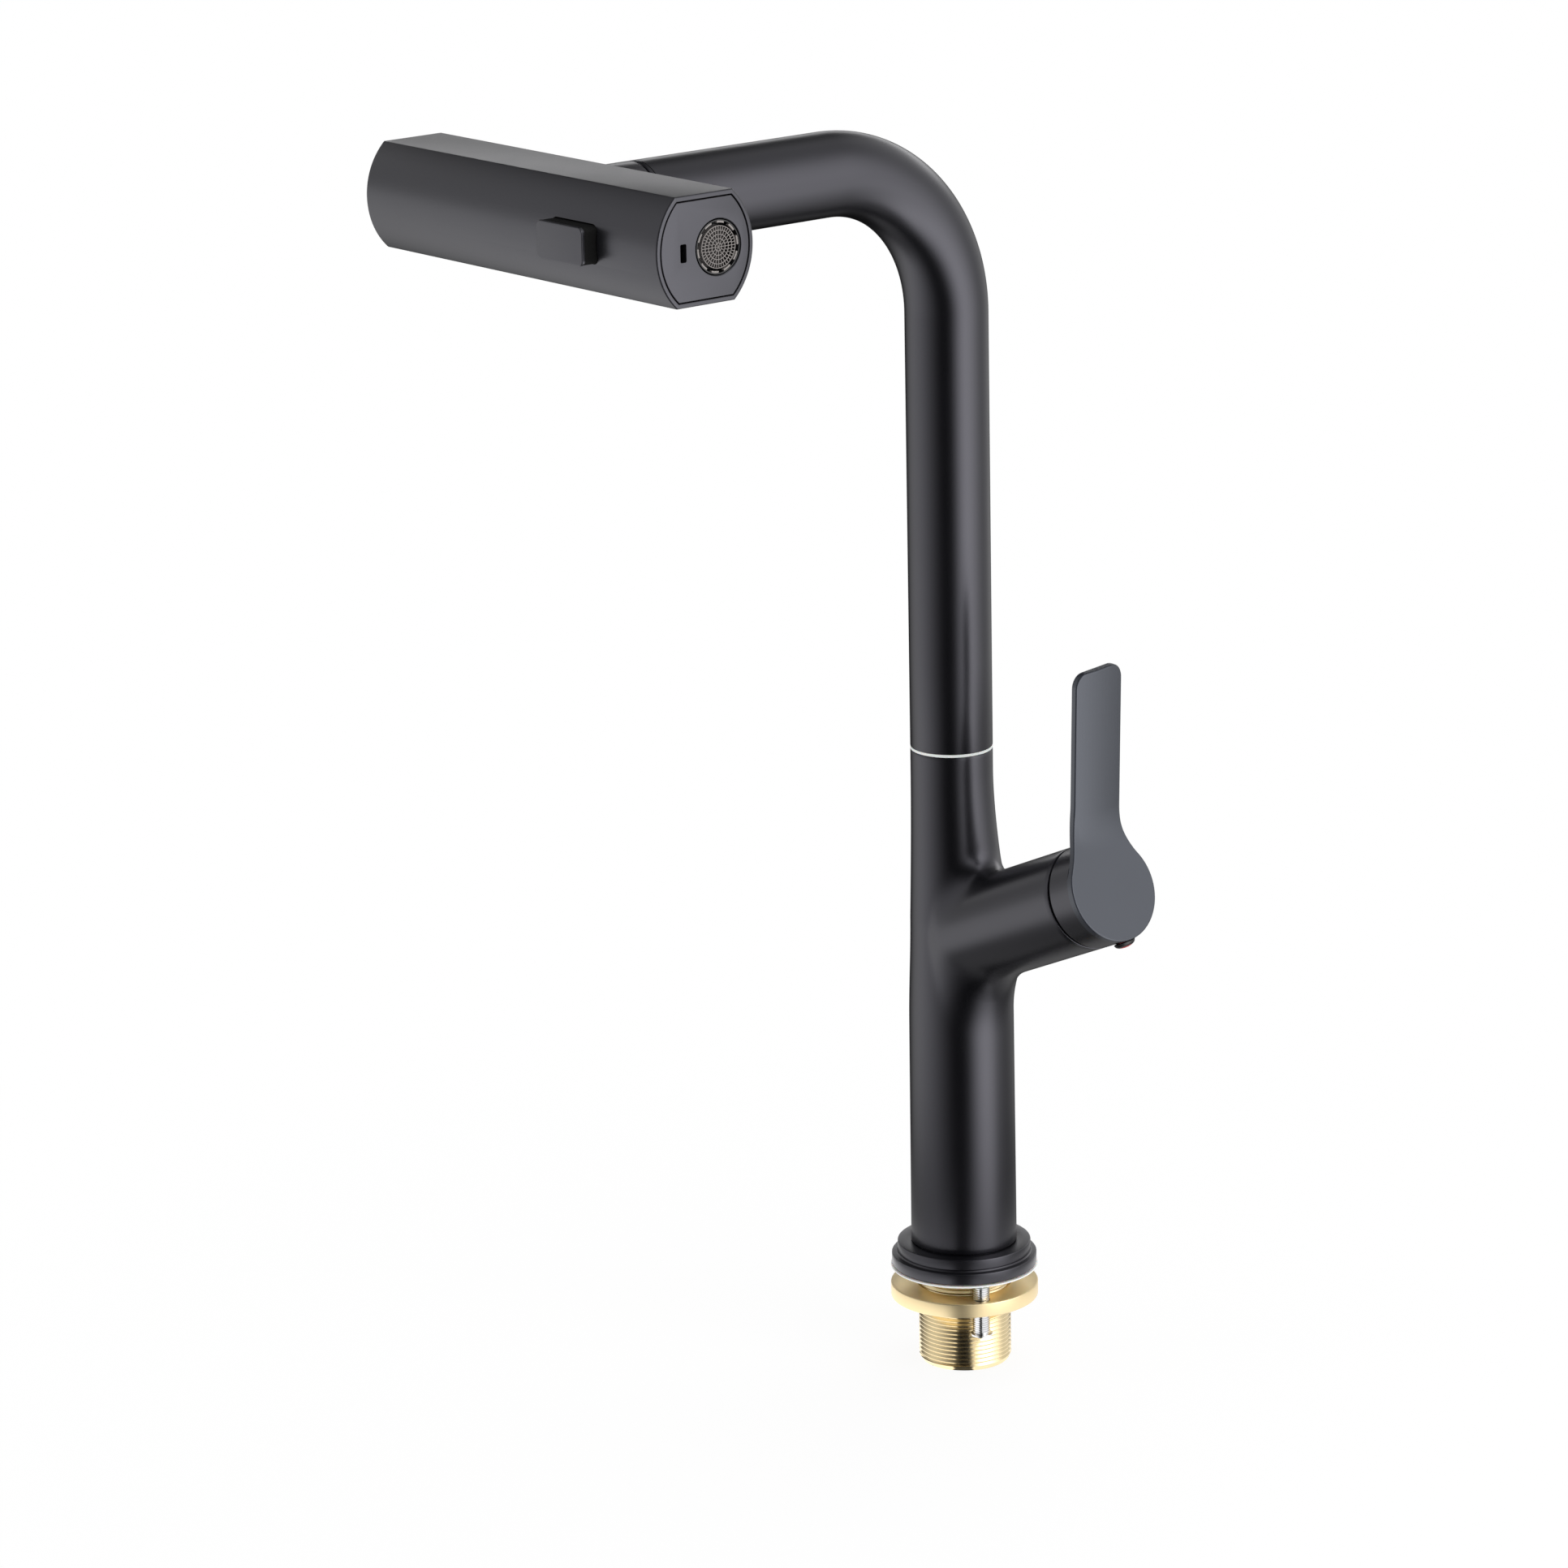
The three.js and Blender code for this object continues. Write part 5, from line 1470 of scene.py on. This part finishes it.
class FAUCET_OT_aerator(bpy.types.Operator):
    """Builds the aerator: its slotted ring and the fine web across it"""

    bl_idname = "faucet.aerator"
    bl_label = "Aerator"

    TABS = 10
    CELLS = (6, 12, 20, 28, 40)
    BORE = 4

    def execute(self, context):
        sizes = in_millimetres(context.scene.faucet_head)
        low, high = node_box("aerator_housing")
        front, back, outer = high.x - SPOUT_X, low.x - SPOUT_X, sizes.aerator
        core = node_box("aerator_core")
        inner, place = (core[1].z - core[0].z) / 2, aerator_place(sizes)
        ring = turned("aerator_ring", rounded([
            (self.BORE, back), (outer, back, 0.3), (outer, front - 0.1, 0.15),
            (outer - 0.4, front - 0.1, 0.1), (outer - 0.4, front - 7), (inner + 0.1, front - 7),
            (inner + 0.1, front - 9), (self.BORE, front - 9),
        ]), place, 120)
        dress(ring, "spray_head", "black_plastic", "aerator_housing")
        # Ten light-grey tabs in the ring's notches: painted highlight for the glints there.
        tabs, low, high = [], front - 1.4, front - 0.3
        for i in range(self.TABS):
            bearing = TURN * (i + 0.25) / self.TABS
            tab = arc_block(outer - 1.0, outer - 0.42, low, high, bearing, 3.0 / outer)
            tabs.append(mesh_piece("tab", *tab, place))
        core = joined("aerator_web", self.web(inner, front, place), *tabs)
        dress(core, "spray_head", "web_plastic", "aerator_core")
        # A near-black screen under the web: painted shade for the depth of the cells.
        low, high = front - 5.2, front - 4.2
        screen = turned("aerator_screen", [(0, low), (inner, low), (inner, high), (0, high)], place)
        dress(screen, "spray_head", "fine_screen")
        return {"FINISHED"}

    def web(self, inner, front, place):
        """Rings of cells between thin walls."""
        pattern = Pattern(
            "aerator_cells",
            Radius=inner * MM, Wall=0.17 * MM, Depth=0.4 * MM, Rings=len(self.CELLS),
        )
        radius, wall, depth = (pattern.given(key) for key in ("Radius", "Wall", "Depth"))
        step = radius / pattern.given("Rings")
        parts = []
        for i, cells in enumerate(self.CELLS, 1):
            circle_line = pattern.node(
                "GeometryNodeCurvePrimitiveCircle", resolution=64, radius=step * i - wall * 0.5
            )
            section = pattern.node(
                "GeometryNodeCurvePrimitiveQuadrilateral", width=wall, height=depth
            )
            parts.append(
                pattern.node("GeometryNodeCurveToMesh", curve=circle_line, profile_curve=section)
            )
            points = pattern.node("GeometryNodeMeshCircle", vertices=cells, radius=step * (i - 0.5))
            size = pattern.vector(step, wall * 0.9, depth * 0.98)
            rib = pattern.node("GeometryNodeMeshCube", size=size)
            parts.append(pattern.spread(points, rib, pattern.bearing()))
        middle = place @ Matrix.Translation((0, 0, front - 0.1))
        return pattern.grown("web", pattern.joined(parts), "web_plastic", middle)


class FAUCET_OT_spray_face(bpy.types.Operator):
    """Builds the nozzle plate under the bar and its rubber nozzles"""

    bl_idname = "faucet.spray_face"
    bl_label = "Spray face"

    COLUMNS, ROWS, PROUD = 11, 2, 0.55

    def execute(self, context):
        sizes = in_millimetres(context.scene.faucet_head)
        low, high = node_box("spray_plate")
        width, depth = high.x - low.x, high.y - low.y
        middle = Vector(((low.x + high.x) / 2, HEAD_Y, -sizes.drop))
        place = Matrix.Translation(middle) @ Matrix.Rotation(math.pi, 4, "X")
        face = -low.z - self.PROUD
        plate = rounded_box("plate", width, depth, depth / 2 - 0.3, 0.4, face, -high.z, place)
        nozzle = self.nozzle(sizes.nozzle)
        level = place @ Matrix.Translation((0, 0, face))
        rows = self.rows(nozzle, (width - depth) / (self.COLUMNS - 1), depth / 2, level)
        bpy.data.objects.remove(nozzle)
        whole = joined("spray_nozzle_plate", plate, rows)
        dress(whole, "spray_head", "black_rubber", "spray_plate")
        return {"FINISHED"}

    def nozzle(self, radius):
        """One nozzle, standing on the plate's face, with a dimple in its end."""
        return turned("nozzle", rounded([
            (0, -0.3), (radius + 0.55, -0.3), (radius + 0.45, 0.15, 0.1),
            (radius, self.PROUD, 0.15), (0.45, self.PROUD, 0.05), (0.35, 0), (0, 0),
        ], 2), COLUMN_FRAME, 20)

    def rows(self, nozzle, pitch, gap, place):
        """The rows of nozzles, with the given distances between them."""
        pattern = Pattern(
            "nozzle_rows",
            Pitch=pitch * MM, Gap=gap * MM, Columns=self.COLUMNS, Rows=self.ROWS, Nozzle=nozzle,
        )
        columns, rows = pattern.given("Columns"), pattern.given("Rows")
        grid = pattern.node(
            "GeometryNodeMeshGrid",
            size_x=pattern.given("Pitch") * (columns - 1),
            size_y=pattern.given("Gap") * (rows - 1),
            vertices_x=columns,
            vertices_y=rows,
        )
        shape = pattern.node(
            "GeometryNodeObjectInfo", output="Geometry", object=pattern.given("Nozzle")
        )
        return pattern.grown("nozzles", pattern.spread(grid, shape), "black_rubber", place)


class FAUCET_OT_button(bpy.types.Operator):
    """Builds the button in the front of the bar"""

    bl_idname = "faucet.button"
    bl_label = "Button"

    FACE = 1.1
    WIRE, COILS, STEPS, TRAVEL = 0.4, 4.5, 16, 3.1

    def execute(self, context):
        sizes = in_millimetres(context.scene.faucet_head)
        low, high = node_box("spray_button")
        front, back, place = HEAD_Y - low.y, HEAD_Y - high.y, button_place(sizes)
        width, height, under = BUTTON_WIDTH, BUTTON_HEIGHT, front - self.FACE
        cap = rounded_box("button_face", width, height, 1.9, 0.35, front, under, place)
        dress(cap, "button", "head_coat")
        skirt = rounded_box("button_skirt", width - 0.2, height - 0.2, 1.8, 0.1, under, back, place)
        rim = rounded_box("rim", width + 2.4, height + 2.4, 3.8, 0.1, back + 1.4, back, place)
        inset, reach = sizes.wall + 0.1, 70
        rings = bar_rings(sizes, [(inset, -reach), (inset, reach)], 0.5)
        combine(rim, lofted("inside", rings, HEAD_FRAME, closed=False), "INTERSECT")
        dress(combine(skirt, rim, "UNION"), "button", "bare_moulding", "spray_button")
        self.spring()
        return {"FINISHED"}

    def spring(self):
        """The coil behind the button, which shortens as the button goes in."""
        low, high = node_box("button_spring")
        wire, length, steps = self.WIRE, high.y - low.y, self.COILS * self.STEPS
        middle, reach = (low + high) / 2, (high.x - low.x) / 2 - wire
        rings = []
        for i in range(int(steps) + 1):
            turn = TURN * i / self.STEPS
            along = low.y + wire + (length - 2 * wire) * i / steps
            rings.append([
                (
                    middle.x + (reach + wire * math.cos(t)) * math.cos(turn),
                    along + wire * math.sin(t),
                    middle.z + (reach + wire * math.cos(t)) * math.sin(turn),
                )
                for t in turns(8)
            ])
        coil = lofted("return_spring", rings, closed=False, crease=60)
        dress(coil, "spray_head", "steel", "button_spring")
        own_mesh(coil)


class FAUCET_OT_hose(bpy.types.Operator):
    """Builds the braided hose that runs up the column and out along the spout"""

    bl_idname = "faucet.hose"
    bl_label = "Spray hose"

    ROWS, SIDES = 60, 32

    def execute(self, context):
        sizes = in_millimetres(context.scene.faucet_body)
        low, high = node_box("spray_hose")
        rise, start = SPOUT_Z - sizes.bend - low.z, -sizes.bend - 1
        stations = [(0, low.z + rise * i / self.ROWS, 0.0) for i in range(self.ROWS)]
        stations += spout_line(low.z, low.y, sizes.bend, 40)[1:-1]
        for i in range(self.ROWS + 1):
            stations.append((start + (low.y - start) * i / self.ROWS, SPOUT_Z, math.pi / 2))
        rings = spout_rings((high.x - low.x) / 2, stations, self.SIDES)
        hose = lofted("braided_hose", rings, SWIVEL_FRAME, closed=False, crease=60)
        dress(hose, None, "grey_braid", "spray_hose")
        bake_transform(hose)
        return {"FINISHED"}


# ---------------------------------------------------------------- fittings


class FAUCET_OT_fittings(bpy.types.Operator):
    """Builds the hose's end fittings and the parts that show under the lifted lever"""

    bl_idname = "faucet.fittings"
    bl_label = "Fittings"

    BORE, OUTER, CRIMPS, SLOTS = 3, 6.6, 3, 6

    def execute(self, context):
        self.hose_ends()
        self.nut()
        self.turret()
        return {"FINISHED"}

    def hose_ends(self):
        """The crimped sleeve, the swivelling fitting and the threaded tail of the hose."""
        bore, wall = self.BORE, self.OUTER
        along = Matrix.Translation((SPOUT_X, 0, SPOUT_Z)) @ axes(
            Vector(), Vector((1, 0, 0)), -UP, Vector((0, 1, 0))
        )
        low, high = node_span("hose_ferrule", along)
        outline = [(wall - 0.8, low.z), (wall, low.z, 0.3)]
        for i in range(1, self.CRIMPS + 1):
            crimp = low.z + (high.z - low.z) * i / (self.CRIMPS + 1)
            outline += [
                (wall, crimp - 0.9, 0.3), (wall - 0.4, crimp - 0.5, 0.3),
                (wall - 0.4, crimp + 0.5, 0.3), (wall, crimp + 0.9, 0.3),
            ]
        outline += [(wall, high.z, 0.3), (wall - 0.8, high.z)]
        ferrule = turned("crimped_ferrule", rounded(outline), along)
        dress(ferrule, "hose_end", "steel", "hose_ferrule")
        low, high = node_span("hose_fitting", along)
        groove = high.z - 2.4
        fitting = turned("swivel_fitting", rounded([
            (bore, low.z), (wall, low.z, 0.3), (wall, groove - 0.6, 0.15),
            (wall - 0.5, groove - 0.4, 0.15), (wall - 0.5, groove + 0.4, 0.15),
            (wall, groove + 0.6, 0.15), (wall, high.z, 0.4), (bore, high.z),
        ]), along)
        dress(fitting, "hose_end", "brass", "hose_fitting")
        low, high = node_box("hose_connector")
        place = Matrix.Translation((*node_middle("hose_connector")[:2], 0))
        tail = thread(
            "threaded_connector", wall - 0.2, 0.5, 1.2, low.z, high.z, place, bore=bore, sides=48
        )
        dress(tail, "spout", "brass", "hose_connector")

    def nut(self):
        """The ring nut that holds the cartridge, with slots for its spanner."""
        low, high = node_span("cartridge_nut", BARREL_FRAME)
        outer, inner = high.y, high.y - 3.9
        nut = turned("slotted_nut", rounded([
            (inner, low.z, 0.3), (outer, low.z, 0.3), (outer, high.z, 0.6), (inner, high.z, 0.5),
        ]), BARREL_FRAME)
        # Each block cuts two slots, on opposite sides.
        for i in range(self.SLOTS // 2):
            place = BARREL_FRAME @ Matrix.Rotation(TURN * (i + 0.5) / self.SLOTS, 4, "Z")
            cut(nut, mesh_block("slot", (40, 3, 4), (0, 0, high.z), place))
        dress(nut, "body", "brass", "cartridge_nut")

    def turret(self):
        """The turning carrier of the stem, slotted so that the stem can tilt."""
        low, high = node_span("cartridge_turret", BARREL_FRAME)
        pin_low, pin_high = node_span("stem_pivot_pin", BARREL_FRAME)
        pivot, neck = (pin_low.z + pin_high.z) / 2, 8.5
        half = node_span("cartridge_stem", BARREL_FRAME)[1].y + 0.3
        turret = turned("slotted_turret", rounded([
            (0, low.z), (high.y, low.z, 0.2), (high.y, pivot + 0.6, 0.2), (neck, pivot + 0.6, 0.1),
            (neck, high.z, 0.6), (0, high.z),
        ]), BARREL_FRAME)
        long = high.y + 6
        slot = mesh_block("slot", (long, 2 * half, 20), (long / 2 - 4.4, 0, pivot), BARREL_FRAME)
        cut(turret, slot)
        bore, end = (pin_high.z - pin_low.z) / 2 + 0.3, pin_high.y + 0.3
        across = Matrix.Translation((0, 0, pivot)) @ Matrix.Rotation(TURN / 4, 4, "X")
        drill(turret, bore, -end, end, BARREL_FRAME @ across)
        dress(turret, "turret", "grey_plastic", "cartridge_turret")


# ---------------------------------------------------------------- finishes and stage


class FAUCET_OT_finishes(bpy.types.Operator):
    """Makes the coats, bare metals, plastics and rubbers"""

    bl_idname = "faucet.finishes"
    bl_label = "Finishes"

    def execute(self, context):
        FINISHES.update(make_finishes(in_millimetres(context.scene.faucet_colours)))
        for node in frame["nodes"].values():
            name = node.data.materials[0].name
            node.data.materials.clear()
            node.data.materials.append(FINISHES[name])
        return {"FINISHED"}


class FAUCET_OT_stage(bpy.types.Operator):
    """Sets up the camera, the soft lamps, the floor and the world"""

    bl_idname = "faucet.stage"
    bl_label = "Stage"

    AZIMUTH, ELEVATION, ROLL = math.radians(50.8), math.radians(15.61), math.radians(-1.134)
    LENS, EYE = 135.1, Vector((1.4515, -1.2603, 0.7106))
    TARGET = Vector((-0.0375, -0.046, 0.1738))
    # Name, bearing, distance, rise, width, height and brightness of each lamp.
    LAMPS = (
        ("right_softbox", 48, 1.3, 0.5, 0.9, 1.2, 2.2),
        ("top_softbox", 140, 0.9, 1.5, 1.2, 1.2, 2),
        ("left_softbox", -82, 1.3, 0.1, 0.7, 0.9, 1.6),
    )
    REACH = 14000

    def execute(self, context):
        az, el = self.AZIMUTH, self.ELEVATION
        self.right = Vector((math.cos(az), math.sin(az), 0))
        self.ahead = Vector((math.sin(az), -math.cos(az), 0))
        self.back = self.ahead * math.cos(el) + UP * math.sin(el)
        self.camera(context)
        self.world(context)
        self.floor(tuple(context.scene.faucet_colours.floor))
        for lamp in self.LAMPS:
            self.lamp(*lamp)
        return {"FINISHED"}

    def camera(self, context):
        """The camera, turned a little about its own line of sight."""
        camera = bpy.data.cameras.new("camera")
        camera.lens, camera.sensor_width, camera.sensor_fit = self.LENS, 36, "HORIZONTAL"
        camera.clip_start, camera.clip_end = 0.05, 100
        holder = linked("camera", camera)
        up = self.back.cross(self.right)
        x = self.right * math.cos(self.ROLL) + up * math.sin(self.ROLL)
        y = up * math.cos(self.ROLL) - self.right * math.sin(self.ROLL)
        holder.matrix_world = axes(self.EYE, x, y, self.back)
        context.scene.camera = holder

    def lamp(self, name, bearing, distance, rise, width, height, brightness):
        """A soft lamp, by its bearing to the right of the front and its rise over the middle."""
        data = bpy.data.lights.new(name, "AREA")
        data.shape, data.size, data.size_y = "RECTANGLE", width, height
        data.energy = brightness * width * height * math.pi
        lamp, turn = linked(name, data), math.radians(bearing)
        away = self.ahead * math.cos(turn) + self.right * math.sin(turn)
        place = self.TARGET + away * distance + UP * rise
        lamp.location = place
        lamp.visible_camera = lamp.visible_glossy = False
        lamp.rotation_euler = (place - self.TARGET).to_track_quat("Z", "Y").to_euler()

    def seen(self, weave):
        """1 for what is seen straight on, and 1 for what is seen mirrored or through glass."""
        direct, glossy, through = (
            weave.node("ShaderNodeLightPath", output=name)
            for name in ("Is Camera Ray", "Is Glossy Ray", "Is Transmission Ray")
        )
        return direct, glossy.maths("MAXIMUM", through)

    def around(self, x, y):
        """A direction's bearing to the right of the front, and how bright the studio is there."""
        across = x * self.right.x + y * self.right.y
        along = x * self.ahead.x + y * self.ahead.y
        bearing = across.maths("ARCTAN2", along) * (180 / math.pi)
        left = bearing * -1
        right_card = bearing.step(6, 48) * (1 - bearing.step(46, 110) * 0.78)
        right_card = right_card * (1 - bearing.step(140, 178)) * 3.1
        left_card = left.step(12, 90) * (1 - left.step(95, 160)) * 1.3
        return bearing, right_card + left_card + 0.01

    def world(self, context):
        """White to the camera, a studio with two cards to mirrors, and even light otherwise."""
        world = bpy.data.worlds.new("studio")
        context.scene.world = world
        world.use_nodes = True
        weave = Weave(world.node_tree)
        x, y, z = weave.parts(weave.node("ShaderNodeTexCoord", output="Generated"))
        direct, mirrored = self.seen(weave)
        unlit = (1 - direct - mirrored).maths("MAXIMUM", 0.0)
        bearing, side = self.around(x, y)
        behind = bearing.maths("ABSOLUTE").step(120, 160)
        card = behind * z.step(0.1, 0.2) * (1 - z.step(0.27, 0.36)) * 1.95
        tall = bearing.step(-40, 40) * 0.55 + 0.55
        studio = side * tall * (1 - z.step(0.4, 1.0) * 0.5) + card
        background = weave.tree.nodes["Background"].inputs
        feed(weave.tree, background["Color"], (1, 1, 1, 1))
        feed(weave.tree, background["Strength"], direct + mirrored * studio + unlit * 0.75)

    def floor(self, colour):
        """The floor, which mirrors show as lit by the studio and dim near the faucet."""
        low, reach = node_box("mounting_shank")[0], self.REACH
        corners = ((-reach, -reach), (reach, -reach), (reach, reach), (-reach, reach))
        floor = mesh_piece("floor", [(x, y, low.z - 0.3) for x, y in corners], [(0, 1, 2, 3)])
        paper = Finish("floor", colour, 0.9)
        x, y, _ = paper.parts(paper.place())
        away = hypotenuse(x, y)
        direct, mirrored = self.seen(paper)
        bearing, side = self.around(x, y)
        left = bearing * -1
        dim = (1 - away.step(0.3, 1.2)) * bearing.step(60, 85) * 0.45
        dim = dim + (1 - away.step(0.15, 0.38)) * left.step(55, 90) * 0.3
        under = (1 - away.step(0.12, 0.3)) * bearing.maths("ABSOLUTE").step(50, 90) * 0.33
        light = side * (away.step(0.1, 0.32) * 0.75 + 0.25 - dim)
        near = 1 - paper.node("ShaderNodeLightPath", output="Ray Length").step(0.105, 0.15)
        edge = bearing.step(7, 11) * 1.2 + left.step(17, 21) * 1.45 + 0.07
        light = light.maths("MAXIMUM", under) * (1 - near) + edge * near
        white = {"color": (1, 1, 1), "strength": direct + mirrored * light}
        glow = paper.node("ShaderNodeEmission", **white)
        share_of_glow = direct * (away.step(0.08, 0.5) * 0.1 + 0.9) + mirrored
        lit = Signal(paper.tree, paper.shader.outputs[0])
        mix = paper.node("ShaderNodeMixShader", numbered={0: share_of_glow, 1: lit, 2: glow})
        feed(paper.tree, paper.tree.nodes["Material Output"].inputs["Surface"], mix)
        floor.data.materials.append(paper.material)


# ---------------------------------------------------------------- panel and run


PIECES = (
    FAUCET_OT_base,
    FAUCET_OT_body,
    FAUCET_OT_spout,
    FAUCET_OT_lever,
    FAUCET_OT_head,
    FAUCET_OT_aerator,
    FAUCET_OT_spray_face,
    FAUCET_OT_button,
    FAUCET_OT_hose,
    FAUCET_OT_fittings,
)


class FAUCET_PT_panel(bpy.types.Panel):
    """Lists the faucet's sizes, colours and pieces"""

    bl_idname = "FAUCET_PT_panel"
    bl_label = "Faucet"
    bl_space_type = "VIEW_3D"
    bl_region_type = "UI"
    bl_category = "Faucet"

    def draw(self, context):
        for name, group in GROUPS.items():
            column = self.layout.column(heading=group.__doc__)
            for key in group.__annotations__:
                column.prop(getattr(context.scene, name), key)
        for operator in (FAUCET_OT_stage, FAUCET_OT_finishes, *PIECES):
            self.layout.operator(operator.bl_idname)


CLASSES = (*GROUPS.values(), FAUCET_OT_stage, FAUCET_OT_finishes, *PIECES, FAUCET_PT_panel)


def register():
    for kind in CLASSES:
        bpy.utils.register_class(kind)
    for name, group in GROUPS.items():
        setattr(bpy.types.Scene, name, bpy.props.PointerProperty(type=group))


def unregister():
    for name in GROUPS:
        delattr(bpy.types.Scene, name)
    for kind in reversed(CLASSES):
        bpy.utils.unregister_class(kind)


def main():
    register()
    bpy.context.scene.view_settings.view_transform = "Standard"
    bpy.ops.faucet.stage()
    bpy.ops.faucet.finishes()
    bpy.ops.faucet.base()
    bpy.ops.faucet.body()
    bpy.ops.faucet.spout()
    bpy.ops.faucet.lever()
    bpy.ops.faucet.head()
    bpy.ops.faucet.aerator()
    bpy.ops.faucet.spray_face()
    bpy.ops.faucet.button()
    bpy.ops.faucet.hose()
    bpy.ops.faucet.fittings()
    bpy.context.view_layer.update()


if __name__ == "__main__":
    main()
